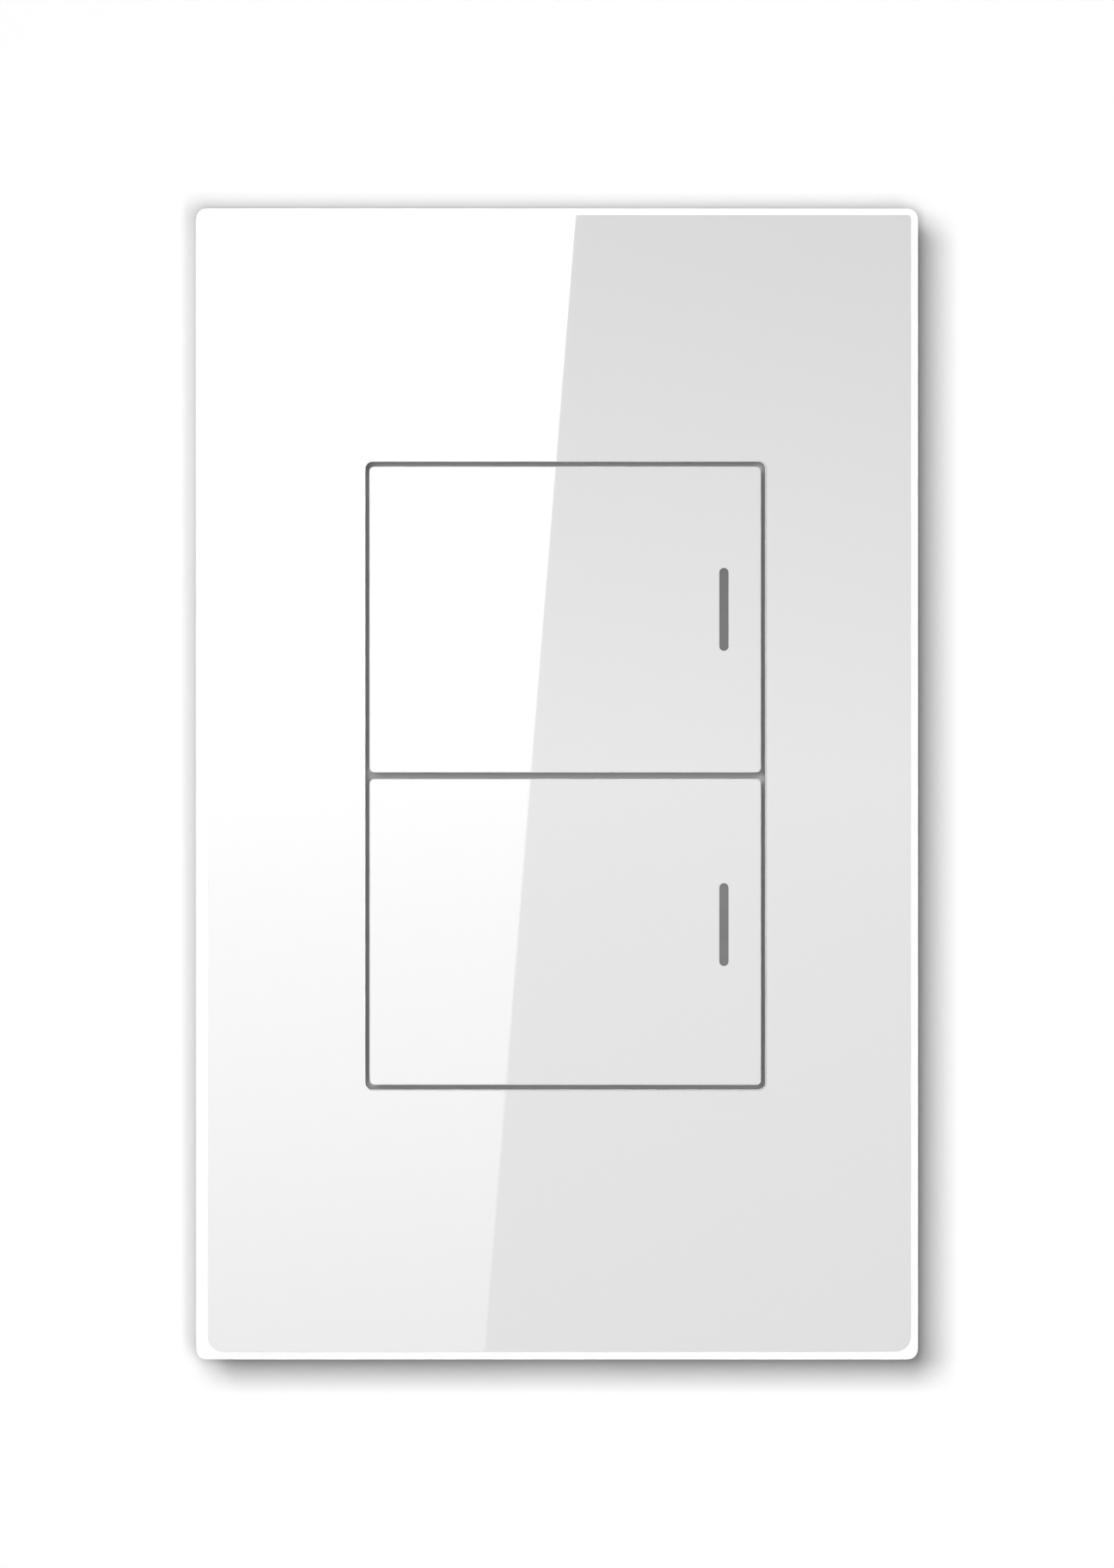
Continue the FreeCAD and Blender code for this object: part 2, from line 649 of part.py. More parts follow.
def biarc(start, start_way, end, end_way):
    """Two arcs that leave one point and reach another along the given directions."""
    across = end - start
    ways = start_way + end_way
    a = 2 * (start_way.dot(end_way) - 1)
    b = -2 * across.dot(ways)
    c = across.dot(across)
    reach = (-b - math.sqrt(b * b - 4 * a * c)) / (2 * a)
    knee_1 = start + start_way * reach
    knee_2 = end - end_way * reach
    middle = (knee_1 + knee_2) * 0.5
    arcs = []
    for p, knee, q in ((start, knee_1, middle), (middle, knee_2, end)):
        chord_mid = (p + q) * 0.5
        half = math.acos(min(1.0, chord_mid.distanceToPoint(p) / reach))
        radius = reach / math.tan(half)
        sagitta = radius * (1 / math.cos(half) - 1)
        inward = (chord_mid - knee).normalize()
        arcs.append(Part.Arc(p, knee + inward * sagitta, q).toShape())
    return arcs


def coil_point(cx, cz, y, rise, angle):
    """Point of a coil along Y and its direction, after an angle of turning."""
    radius = SPRING_D / 2
    per_radian = rise / (2 * math.pi)
    point = Vector(cx + radius * math.cos(angle), y + per_radian * angle, cz + radius * math.sin(angle))
    way = Vector(-radius * math.sin(angle), per_radian, radius * math.cos(angle)).normalize()
    return point, way


def return_spring(which):
    """Compression spring between the carrier and the key, one unbroken wire."""
    front = KEY_BACK_Y + SPRING_SEAT + SPRING_WIRE / 2
    back = CARRIER_FRONT_Y - SPRING_SEAT - SPRING_WIRE / 2
    rise = (back - front) / SPRING_TURNS
    z = KEY_Z[which] + SPRING_Z
    quarters = round(SPRING_TURNS * 4)
    edges = []
    for i in range(quarters):
        start, start_way = coil_point(PRESS_X, z, front, rise, i * math.pi / 2)
        end, end_way = coil_point(PRESS_X, z, front, rise, (i + 1) * math.pi / 2)
        edges += biarc(start, start_way, end, end_way)
    begin, way = coil_point(PRESS_X, z, front, rise, 0)
    section = Part.Wire(Part.makeCircle(SPRING_WIRE / 2, begin, way))
    print(which, "return spring, least gap between turns", round(rise - SPRING_WIRE, 2), "mm")
    return Part.Wire(edges).makePipeShell([section], True, False)


def carrier_cell(which, y0, y1):
    """The space that the carrier's wall leaves for one key."""
    shrink = 2 * WALL_INSET
    return slab(FIELD_X, KEY_Z[which], KEY_W - shrink, KEY_H - shrink, KEY_R, y0, y1)


def hook_window(which, end, side_play, out_play, y0, y1):
    """Window for one retaining hook."""
    z = KEY_Z[which] + end * HOOK_Z
    near = z - end * (HOOK_T / 2 + side_play)
    far = z + end * (HOOK_T / 2 + out_play)
    half = HOOK_W / 2 + side_play
    return box(HOOK_X - half, HOOK_X + half, y0, y1, min(near, far), max(near, far))


def light_window(which, y0, y1):
    """Window between a lamp and its light pipe."""
    play = BAR_STEM_W / 2 + PANEL_PLAY
    return stadium(BAR_X, KEY_Z[which] + BAR_RISE[which], BAR_STEM_W + 2 * play, BAR_STEM_L + 2 * play, y0, y1)


def carrier_screw_places():
    """Middles of the four screws that hold the carrier."""
    x = FLANGE_W / 2 - CARRIER_SCREW_IN
    z = FLANGE_H / 2 - CARRIER_SCREW_IN
    return [(side * x, end * z) for side, end in CORNERS]


def key_carrier():
    """Tray behind the keys: plate, wall round each key, hinge brackets and spring cups."""
    outer_w, outer_h = carrier_outline()
    plate = slab(0, 0, FLANGE_W, FLANGE_H, HOUSING_R, CARRIER_FRONT_Y, FLANGE_FRONT_Y)
    wall = slab(FIELD_X, FIELD_Z, outer_w, outer_h, OPEN_R, WALL_TOP_Y, CARRIER_FRONT_Y)
    cells = [carrier_cell(which, WALL_TOP_Y - PAST, CARRIER_FRONT_Y) for which in KEYS]
    pieces = [plate, less(wall, cells)]
    hole_r = CARRIER_SCREW_R + SCREW_FIT
    tools = [rod(x, z, hole_r, CARRIER_FRONT_Y - PAST, 0) for x, z in carrier_screw_places()]
    cup_r = SPRING_D / 2 + SPRING_WIRE / 2 + SPRING_PLAY
    for which in KEYS:
        z = KEY_Z[which]
        for level in (-1, 0, 1):
            low = z + level * BRACKET_Z - LUG_T / 2
            high = low + LUG_T
            pieces.append(box(HINGE_X - LUG_R, HINGE_X + LUG_R, HINGE_Y, CARRIER_FRONT_Y, low, high))
            pieces.append(rod_z(HINGE_X, HINGE_Y, LUG_R, low, high))
            tools.append(rod_z(HINGE_X, HINGE_Y, HINGE_R + HINGE_SEAT_FIT, low, high))
        cup = rod(PRESS_X, z + SPRING_Z, cup_r + CUP_T, CARRIER_FRONT_Y - CUP_H, CARRIER_FRONT_Y)
        pieces.append(cup.cut(rod(PRESS_X, z + SPRING_Z, cup_r, CARRIER_FRONT_Y - CUP_H, CARRIER_FRONT_Y)))
        tools.append(rod(PRESS_X, z, PLUNGER_R + PLUNGER_HOLE_PLAY, CARRIER_FRONT_Y - PAST, 0))
        tools.append(light_window(which, CARRIER_FRONT_Y - PAST, 0))
        for end in (-1, 1):
            tools.append(hook_window(which, end, HOOK_PLAY, HOOK_PLAY, CARRIER_FRONT_Y - PAST, 0))
    return less(joined(pieces), tools)


def carrier_screws():
    """Four small screws through the carrier and the flange into the yoke."""
    screws = []
    head_front = CARRIER_FRONT_Y - CARRIER_SCREW_HEAD_H
    for x, z in carrier_screw_places():
        head = cross_head(x, z, CARRIER_SCREW_HEAD_R, head_front, CARRIER_FRONT_Y, -1)
        shank = rod(x, z, CARRIER_SCREW_R, CARRIER_FRONT_Y, YOKE_FRONT_Y + CARRIER_SCREW_BITE)
        screws.append(joined([head, shank]))
    return Part.makeCompound(screws)


def cross_head(x, z, radius, y0, y1, facing):
    """Round screw head with a cross recess in the side that faces along Y by the given sign."""
    arm = radius * CROSS_REACH
    half = radius * CROSS_HALF
    depth = (y1 - y0) * CROSS_DEPTH
    low = y0 - PAST if facing < 0 else y1 - depth
    high = y0 + depth if facing < 0 else y1 + PAST
    cross = [
        box(x - arm, x + arm, low, high, z - half, z + half),
        box(x - half, x + half, low, high, z - arm, z + arm),
    ]
    return rod(x, z, radius, y0, y1).cut(joined(cross))


def yoke():
    """Steel mounting plate with the housing's window, two box screw slots and four grommet holes."""
    plate = slab(0, 0, YOKE_W, YOKE_H, YOKE_R, YOKE_FRONT_Y, 0)
    tools = [slab(0, 0, INNER_W, INNER_H, HOUSING_R - HOUSING_WALL / 2, YOKE_FRONT_Y - PAST, PAST)]
    for end in (-1, 1):
        tools.append(stadium(0, end * BOX_SCREW_PITCH / 2, SLOT_W, SLOT_L, YOKE_FRONT_Y - PAST, PAST))
    for side, end in CORNERS:
        tools.append(rod(side * PEG_X, end * PEG_Z, GROMMET_NECK_R, YOKE_FRONT_Y - PAST, PAST))
    for x, z in carrier_screw_places():
        tools.append(rod(x, z, CARRIER_SCREW_R, YOKE_FRONT_Y - PAST, PAST))
    return less(plate, tools)


def peg_grommets():
    """Four nylon grommets in the yoke that grip the panel's pegs."""
    grommets = []
    for side, end in CORNERS:
        x = side * PEG_X
        z = end * PEG_Z
        body = rod(x, z, GROMMET_R, YOKE_FRONT_Y - GROMMET_H, YOKE_FRONT_Y)
        neck = rod(x, z, GROMMET_NECK_R, YOKE_FRONT_Y - GROMMET_H / 2, 0)
        bore = rod(x, z, PEG_R + PEG_FIT, YOKE_FRONT_Y - GROMMET_H - PAST, PAST)
        grommets.append(body.fuse(neck).removeSplitter().cut(bore))
    return Part.makeCompound(grommets)


def board_screw_places():
    """Middles of the two screws that hold the logic board."""
    z = INNER_H / 2 - BOARD_SCREW_IN
    return [(-BOARD_SCREW_X, z), (-BOARD_SCREW_X, -z)]


def front_housing():
    """Front cover of the module: flange on the yoke, locating ring, posts and windows."""
    flange = slab(0, 0, FLANGE_W, FLANGE_H, HOUSING_R, FLANGE_FRONT_Y, YOKE_FRONT_Y)
    ring_w = INNER_W - 2 * RING_PLAY
    ring_h = INNER_H - 2 * RING_PLAY
    ring = slab(0, 0, ring_w, ring_h, HOUSING_R / 2, YOKE_FRONT_Y, LOGIC_Y)
    hollow = slab(0, 0, ring_w - 2 * RING_T, ring_h - 2 * RING_T, HOUSING_R / 2, YOKE_FRONT_Y, LOGIC_Y + PAST)
    pieces = [flange, ring.cut(hollow)]
    hole_r = CARRIER_SCREW_R + SCREW_FIT
    tools = [rod(x, z, hole_r, FLANGE_FRONT_Y - PAST, 0) for x, z in carrier_screw_places()]
    seat_y = FLANGE_FRONT_Y + HOUSING_SCREW_HEAD_H + SCREW_FIT
    for side, end in CORNERS:
        x = side * POST_X
        z = end * POST_Z
        pieces.append(rod(x, z, CORNER_POST_R, YOKE_FRONT_Y, LOGIC_BACK_Y))
        tools.append(rod(x, z, HOUSING_SCREW_HEAD_R + SCREW_FIT, FLANGE_FRONT_Y - PAST, seat_y))
        tools.append(rod(x, z, HOUSING_SCREW_R + SCREW_FIT, FLANGE_FRONT_Y, LOGIC_BACK_Y + PAST))
    for x, z in board_screw_places():
        pieces.append(rod(x, z, BOARD_POST_R, YOKE_FRONT_Y, LOGIC_Y))
        tools.append(rod(x, z, BOARD_SCREW_R, YOKE_FRONT_Y, LOGIC_Y + PAST))
    for which in KEYS:
        tools.append(rod(PRESS_X, KEY_Z[which], PLUNGER_R + PLUNGER_HOLE_PLAY, FLANGE_FRONT_Y - PAST, 0))
        tools.append(light_window(which, FLANGE_FRONT_Y - PAST, 0))
        for end in (-1, 1):
            tools.append(hook_window(which, end, HOOK_PLAY, HOOK_BARB + HOOK_PLAY, FLANGE_FRONT_Y - PAST, 0))
    return less(joined(pieces), tools)


def rear_housing():
    """Rear shell of the module, stepped at the foot for the terminal block."""
    half_w = HOUSING_W / 2
    shell = slab(0, 0, HOUSING_W, HOUSING_H, HOUSING_R, 0, HOUSING_DEPTH)
    pocket_half = BLOCK_W / 2 + BLOCK_PLAY
    low = -HOUSING_H / 2
    inner_r = HOUSING_R - HOUSING_WALL / 2
    cavity = slab(0, 0, INNER_W, INNER_H, inner_r, -PAST, REAR_WALL_Y)
    pocket_out = pocket_half + HOUSING_WALL
    keep = box(-pocket_out, pocket_out, STEP_FRONT_Y, HOUSING_DEPTH, low, SHELF_Z)
    cheeks = box(-half_w, half_w, REAR_WALL_Y, HOUSING_DEPTH, low, SHELF_Z)
    body = less(shell, [cavity.cut(keep.fuse(cheeks))])
    pieces = [body]
    boss_back = HOUSING_DEPTH - HOUSING_WALL / 2
    tools = [box(-pocket_half, pocket_half, STEP_BACK_Y, HOUSING_DEPTH + PAST, low - PAST, STEP_Z)]
    for side, end in CORNERS:
        back = boss_back if end > 0 else STEP_FRONT_Y + STEP_FLOOR / 2
        pieces.append(rod(side * POST_X, end * POST_Z, CORNER_BOSS_R, LOGIC_BACK_Y, back))
        depth = FLANGE_FRONT_Y + HOUSING_SCREW_L + HOUSING_SCREW_HEAD_H + SCREW_FIT
        tools.append(rod(side * POST_X, end * POST_Z, HOUSING_SCREW_R, LOGIC_BACK_Y - PAST, depth))
    vent_low = REST_Z + REST_W / 2 + VENT_END_GAP
    vent_high = BOSS_LOW_Z - VENT_END_GAP
    for side in (-1, 1):
        wall = side * (INNER_W / 2 + HOUSING_WALL / 2)
        tip = side * (INNER_W / 2 - REST_W)
        for z in (-REST_Z, REST_Z):
            rib_low = z - REST_W / 2
            pieces.append(box(min(wall, tip), max(wall, tip), POWER_BACK_Y, boss_back, rib_low, rib_low + REST_W))
        inner = side * (INNER_W / 2 - VENT_PAST)
        outer = side * (half_w + PAST)
        for i in range(VENT_COUNT):
            y = HOUSING_DEPTH / 2 - VENT_W / 2 + (i - (VENT_COUNT - 1) / 2) * VENT_PITCH
            tools.append(box(min(inner, outer), max(inner, outer), y, y + VENT_W, vent_low, vent_high))
    label_z = (INNER_H / 2 + STEP_Z) / 2
    label_y = HOUSING_DEPTH - LABEL_DEPTH
    tools.append(slab(0, label_z, LABEL_W, LABEL_H, LABEL_R, label_y, HOUSING_DEPTH + PAST))
    half = BUS_TAIL_W / 2 + BUS_PLAY
    tail_low = bus_tail_z() - BUS_PLAY
    tail_high = bus_tail_z() + BUS_T + BUS_PLAY
    for x in POLE_X:
        tools.append(box(x - half, x + half, STEP_FRONT_Y - PAST, STEP_BACK_Y + PAST, tail_low, tail_high))
    return less(joined(pieces), tools)


def housing_screws():
    """Four screws that pull the two housings together, with the yoke between."""
    screws = []
    head_back = FLANGE_FRONT_Y + HOUSING_SCREW_HEAD_H + SCREW_FIT
    for side, end in CORNERS:
        x = side * POST_X
        z = end * POST_Z
        head = cross_head(x, z, HOUSING_SCREW_HEAD_R, head_back - HOUSING_SCREW_HEAD_H, head_back, -1)
        shank = rod(x, z, HOUSING_SCREW_R, head_back, head_back + HOUSING_SCREW_L - SCREW_END_ROOM)
        screws.append(joined([head, shank]))
    return Part.makeCompound(screws)


def logic_board():
    """Front board with round notches for the corner posts and two screw holes."""
    board = slab(0, 0, BOARD_W, BOARD_H, BOARD_R, LOGIC_Y, LOGIC_BACK_Y)
    notch_r = CORNER_POST_R + BOARD_PLAY
    tools = []
    for side, end in CORNERS:
        tools.append(rod(side * POST_X, end * POST_Z, notch_r, LOGIC_Y - PAST, LOGIC_BACK_Y + PAST))
        tools.append(notch_to_corner(side, end, CORNER_POST_R, LOGIC_Y, LOGIC_BACK_Y))
    for x, z in board_screw_places():
        tools.append(rod(x, z, BOARD_SCREW_R + SCREW_FIT, LOGIC_Y - PAST, LOGIC_BACK_Y + PAST))
    return less(board, [joined(tools)])


def notch_to_corner(side, end, radius, y0, y1):
    """L-shaped block from a post's middle to the board's corner, so that the notch is open there."""
    grow = radius + BOARD_PLAY
    corner_x = side * INNER_W / 2
    corner_z = end * INNER_H / 2
    pieces = []
    for x, z in ((side * POST_X, end * (POST_Z - grow)), (side * (POST_X - grow), end * POST_Z)):
        left, right = sorted((x, corner_x))
        low, high = sorted((z, corner_z))
        pieces.append(box(left, right, y0 - PAST, y1 + PAST, low, high))
    return joined(pieces)


def board_screws():
    """Two screws that hold the logic board on its posts."""
    screws = []
    for x, z in board_screw_places():
        head = cross_head(x, z, BOARD_SCREW_HEAD_R, LOGIC_BACK_Y, LOGIC_BACK_Y + BOARD_SCREW_HEAD_H, 1)
        screws.append(joined([head, rod(x, z, BOARD_SCREW_R, YOKE_FRONT_Y + BOARD_SCREW_END, LOGIC_BACK_Y)]))
    return Part.makeCompound(screws)


def tact_body(which):
    """Body of the push switch under a key."""
    z = KEY_Z[which]
    half = TACT_W / 2
    front = YOKE_FRONT_Y + TACT_BODY_GAP
    block = box(PRESS_X - half, PRESS_X + half, front, LOGIC_Y, z - half, z + half)
    return block.cut(rod(PRESS_X, z, PLUNGER_R + PLUNGER_FIT, front - PAST, front + PLUNGER_IN + PLUNGER_ROOM))


def tact_plunger(which):
    """Plunger that the key pushes into the switch."""
    front = YOKE_FRONT_Y + TACT_BODY_GAP
    return rod(PRESS_X, KEY_Z[which], PLUNGER_R, plunger_top(), front + PLUNGER_IN)


def led(which):
    """Lamp behind an indicator bar."""
    z = KEY_Z[which] + BAR_RISE[which]
    return joined([
        box(BAR_X - LED_W / 2, BAR_X + LED_W / 2, LOGIC_Y - LED_T / 2, LOGIC_Y, z - LED_L / 2, z + LED_L / 2),
        slab(BAR_X, z, LENS_W, LENS_L, LENS_R, LOGIC_Y - LED_T, LOGIC_Y - LED_T / 2),
    ])


def control_chip():
    """Flat controller package with its rows of leads."""
    body_w = CHIP_W - 2 * CHIP_LEAD_L
    pieces = [slab(CHIP_X, CHIP_Z, body_w, body_w, CHIP_R, LOGIC_BACK_Y + CHIP_STANDOFF, LOGIC_BACK_Y + CHIP_T)]
    back = LOGIC_BACK_Y + CHIP_LEAD_T
    half = CHIP_W / 2
    lead = CHIP_LEAD_W / 2
    for i in range(CHIP_LEADS):
        x = CHIP_X + (i - (CHIP_LEADS - 1) / 2) * CHIP_LEAD_PITCH
        z = CHIP_Z + (i - (CHIP_LEADS - 1) / 2) * CHIP_LEAD_PITCH
        pieces.append(box(CHIP_X - half, CHIP_X + half, LOGIC_BACK_Y, back, z - lead, z + lead))
        pieces.append(box(x - lead, x + lead, LOGIC_BACK_Y, back, CHIP_Z - half, CHIP_Z + half))
    return joined(pieces)


def radio_module():
    """Radio daughter board on the logic board."""
    return slab(RADIO_X, RADIO_Z, RADIO_W, RADIO_H, RADIO_R, LOGIC_BACK_Y, LOGIC_BACK_Y + RADIO_T)


def radio_shield():
    """Metal can over the radio's chips, open towards its board."""
    front = LOGIC_BACK_Y + RADIO_T
    back = front + SHIELD_T
    can = slab(RADIO_X, SHIELD_Z, SHIELD_W, SHIELD_H, SHIELD_R, front, back)
    inner_w = SHIELD_W - 2 * SHIELD_WALL
    inner_h = SHIELD_H - 2 * SHIELD_WALL
    return can.cut(slab(RADIO_X, SHIELD_Z, inner_w, inner_h, SHIELD_R / 2, front - PAST, back - SHIELD_WALL))


def board_header():
    """Moulded pin header that joins the two boards."""
    return slab(HEADER_X, HEADER_Z, HEADER_L, HEADER_W, HEADER_R, LOGIC_BACK_Y, POWER_Y)


def power_board():
    """Rear board, notched for the rear housing's bosses."""
    board = slab(0, 0, BOARD_W, BOARD_H, BOARD_R, POWER_Y, POWER_BACK_Y)
    notch_r = CORNER_BOSS_R + BOARD_PLAY
    tools = []
    for side, end in CORNERS:
        tools.append(rod(side * POST_X, end * POST_Z, notch_r, POWER_Y - PAST, POWER_BACK_Y + PAST))
        tools.append(notch_to_corner(side, end, CORNER_BOSS_R, POWER_Y, POWER_BACK_Y))
    return less(board, [joined(tools)])


def relay(which):
    """Sealed relay: a moulded case with a base lip, on the power board."""
    z = RELAY_Z[which]
    lip_back = POWER_BACK_Y + RELAY_LIP_T
    case_w = RELAY_W - 2 * RELAY_LIP
    case_h = RELAY_H - 2 * RELAY_LIP
    return joined([
        slab(RELAY_X, z, RELAY_W, RELAY_H, RELAY_LIP_R, POWER_BACK_Y, lip_back),
        slab(RELAY_X, z, case_w, case_h, RELAY_R, lip_back, REAR_WALL_Y - REAR_ROOM),
    ])


def transformer_core():
    """Ferrite core: closed frame with a middle limb."""
    back = CORE_Y + CORE_T
    window_h = CORE_H - 2 * CORE_LIMB
    solid = slab(CORE_X, CORE_Z, CORE_W, CORE_H, CORE_R, CORE_Y, back)
    tools = []
    for side in (-1, 1):
        x = CORE_X + side * (CORE_LIMB + CORE_WINDOW_W) / 2
        tools.append(box(x - CORE_WINDOW_W / 2, x + CORE_WINDOW_W / 2, CORE_Y - PAST, back + PAST,
                         CORE_Z - window_h / 2, CORE_Z + window_h / 2))
    return less(solid, tools)


def transformer_winding():
    """Taped winding round the middle limb, on a bobbin whose foot stands on the board."""
    half_in = CORE_LIMB / 2 + WINDING_PLAY / 2
    half_out = CORE_LIMB / 2 + CORE_WINDOW_W - WINDING_PLAY
    half_z = CORE_H / 2 - CORE_LIMB - WINDING_PLAY
    front = CORE_Y - WINDING_PLAY / 2
    back = CORE_Y + CORE_T + WINDING_PLAY / 2
    build = half_out - half_in
    low = CORE_Z - half_z
    high = CORE_Z + half_z
    sleeve = box(CORE_X - half_out, CORE_X + half_out, front - build, back + build, low, high)
    sleeve = sleeve.cut(box(CORE_X - half_in, CORE_X + half_in, front, back, low - PAST, high + PAST))
    foot = box(CORE_X - half_in, CORE_X + half_in, POWER_BACK_Y, front - build, low, high)
    return joined([sleeve, foot])


def can_capacitor(x, z, radius, length):
    """Round electrolytic capacitor, crimped near its foot."""
    front = POWER_BACK_Y
    waist = radius * (1 - CRIMP_SHARE)
    return joined([
        rod(x, z, radius, front, front + CRIMP_LOW),
        rod(x, z, waist, front + CRIMP_LOW, front + CRIMP_HIGH),
        rod(x, z, radius, front + CRIMP_HIGH, front + length),
    ])


def varistor():
    """Disc surge absorber on two leads."""
    y = POWER_BACK_Y + VARISTOR_STANDOFF + VARISTOR_R
    disc = rod_z(VARISTOR_X, y, VARISTOR_R, VARISTOR_Z - VARISTOR_T / 2, VARISTOR_Z + VARISTOR_T / 2)
    leads = [rod(VARISTOR_X + side * VARISTOR_R / 2, VARISTOR_Z, LEAD_R, POWER_BACK_Y, y) for side in (-1, 1)]
    return joined([disc] + leads)


def film_capacitor():
    """Boxed interference capacitor."""
    return slab(FILM_X, FILM_Z, FILM_W, FILM_H, FILM_R, POWER_BACK_Y, POWER_BACK_Y + FILM_T)


def fuse():
    """Boxed fuse."""
    return slab(FUSE_X, FUSE_Z, FUSE_W, FUSE_H, FUSE_R, POWER_BACK_Y, POWER_BACK_Y + FUSE_T)


def bridge_rectifier():
    """Small rectifier on the rear of the power board."""
    return slab(BRIDGE_X, BRIDGE_Z, BRIDGE_W, BRIDGE_W, BRIDGE_R, POWER_BACK_Y, POWER_BACK_Y + BRIDGE_T)


def supply_chip():
    """Supply controller on the front of the power board."""
    return slab(SUPPLY_X, SUPPLY_Z, SUPPLY_W, SUPPLY_H, SUPPLY_R, POWER_Y - SUPPLY_T, POWER_Y)


def cavity_high_z():
    """Upper end of the terminal block's cavities."""
    return BLOCK_LOW_Z + BLOCK_H - BLOCK_BACK


def bus_tail_z():
    """Lower side of the tails that run forward to the power board."""
    return cavity_high_z() - BUS_PLAY - BUS_T


def terminal_block():
    """Moulded block with a cavity, a wire entry and a screw well for each pole."""
    high = BLOCK_LOW_Z + BLOCK_H
    half = BLOCK_W / 2
    block = box(-half, half, STEP_BACK_Y, BLOCK_REAR_Y, BLOCK_LOW_Z, high)
    cage_half = CAGE_W / 2 + CAGE_T + CAGE_PLAY
    entry_half = CAGE_W / 2 + CAGE_PLAY
    tail_half = BUS_TAIL_W / 2 + BUS_PLAY
    tools = []
    for x in POLE_X:
        cavity = box(x - cage_half, x + cage_half, CAGE_FRONT_Y - CAGE_PLAY, CAVITY_BACK_Y,
                     BLOCK_LOW_Z + BLOCK_FACE, cavity_high_z())
        entry = box(x - entry_half, x + entry_half, WIRE_FRONT_Y - CAGE_PLAY, BUS_Y + CAGE_PLAY,
                    BLOCK_LOW_Z - PAST, BLOCK_LOW_Z + BLOCK_FACE + PAST)
        tail = box(x - tail_half, x + tail_half, STEP_BACK_Y - PAST, CAGE_FRONT_Y,
                   bus_tail_z() - BUS_PLAY, cavity_high_z())
        web = rod(x, POLE_Z, CLAMP_SCREW_R + WELL_PLAY, CAVITY_BACK_Y - PAST, WELL_Y + PAST)
        well = rod(x, POLE_Z, CLAMP_SCREW_HEAD_R + WELL_PLAY, WELL_Y, BLOCK_REAR_Y + PAST)
        tools.append(joined([cavity, entry, tail, web, well]))
    return less(block, tools)


def bus_bars():
    """One contact bar for each pole, with a tail forward to the power board."""
    bars = []
    tail_z = bus_tail_z()
    half = CAGE_W / 2 - BUS_PLAY
    for x in POLE_X:
        flat = box(x - half, x + half, BUS_Y, BUS_BACK_Y, CAGE_LOW_Z, tail_z + BUS_T)
        tail = box(x - BUS_TAIL_W / 2, x + BUS_TAIL_W / 2, POWER_BACK_Y, BUS_BACK_Y, tail_z, tail_z + BUS_T)
        bars.append(flat.fuse(tail).removeSplitter())
    return Part.makeCompound(bars)


def clamp_cage(x):
    """Rising clamp: a square tube with a thick threaded roof."""
    half = CAGE_W / 2 + CAGE_T
    high = CAGE_LOW_Z + CAGE_L
    body = box(x - half, x + half, CAGE_FRONT_Y, CAGE_BACK_Y, CAGE_LOW_Z, high)
    return less(body, [
        box(x - CAGE_W / 2, x + CAGE_W / 2, WIRE_FRONT_Y, CAGE_TOP_Y, CAGE_LOW_Z - PAST, high + PAST),
        rod(x, POLE_Z, CLAMP_SCREW_R + CLAMP_SCREW_FIT, CAGE_TOP_Y - PAST, CAGE_BACK_Y + PAST),
    ])


def terminal_screw(x):
    """Slotted clamp screw."""
    head_y = WELL_Y + CLAMP_SCREW_FIT
    head = rod(x, POLE_Z, CLAMP_SCREW_HEAD_R, head_y, head_y + CLAMP_SCREW_HEAD_H)
    shank = rod(x, POLE_Z, CLAMP_SCREW_R, BUS_BACK_Y + CLAMP_SCREW_FIT, head_y)
    half = CLAMP_SCREW_SLOT / 2
    reach = CLAMP_SCREW_HEAD_R + PAST
    slot = box(x - reach, x + reach, head_y + CLAMP_SCREW_HEAD_H / 2, head_y + CLAMP_SCREW_HEAD_H + PAST,
               POLE_Z - half, POLE_Z + half)
    return head.fuse(shank).removeSplitter().cut(slot)


def main():
    """Build every sub-part and write it."""
    os.makedirs("parts", exist_ok=True)
    save("glass_panel", glass_panel())
    save("bonding_tape", bonding_tape())
    save("panel_frame", panel_frame())
    for which in KEYS:
        save("key_" + which, key(which))
        save("light_bar_" + which, light_bar(which))
        save("hinge_pin_" + which, hinge_pin(which))
        save("return_spring_" + which, return_spring(which))
        save("tact_body_" + which, tact_body(which))
        save("tact_plunger_" + which, tact_plunger(which))
        save("led_" + which, led(which))
        save("relay_" + which, relay(which))
    save("key_carrier", key_carrier())
    save("carrier_screws", carrier_screws())
    save("yoke", yoke())
    save("peg_grommets", peg_grommets())
    save("front_housing", front_housing())
    save("rear_housing", rear_housing())
    save("housing_screws", housing_screws())
    save("logic_board", logic_board())
    save("board_screws", board_screws())
    save("control_chip", control_chip())
    save("radio_module", radio_module())
    save("radio_shield", radio_shield())
    save("board_header", board_header())
    save("power_board", power_board())
    save("transformer_core", transformer_core())
    save("transformer_winding", transformer_winding())
    save("bulk_capacitor", can_capacitor(BULK_X, BULK_Z, BULK_R, BULK_L))
    save("output_capacitor", can_capacitor(OUTPUT_X, OUTPUT_Z, OUTPUT_R, OUTPUT_L))
    save("varistor", varistor())
    save("film_capacitor", film_capacitor())
    save("fuse", fuse())
    save("bridge_rectifier", bridge_rectifier())
    save("supply_chip", supply_chip())
    save("terminal_block", terminal_block())
    save("bus_bars", bus_bars())
    print("clamp lift", round(CLAMP_LIFT, 2), "mm")
    for number, x in enumerate(POLE_X, 1):
        save("clamp_cage_" + str(number), clamp_cage(x))
        save("terminal_screw_" + str(number), terminal_screw(x))


main()
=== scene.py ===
"""Looks of a two-key smart wall switch: glass panel, keys, mounting parts and the relay module behind."""

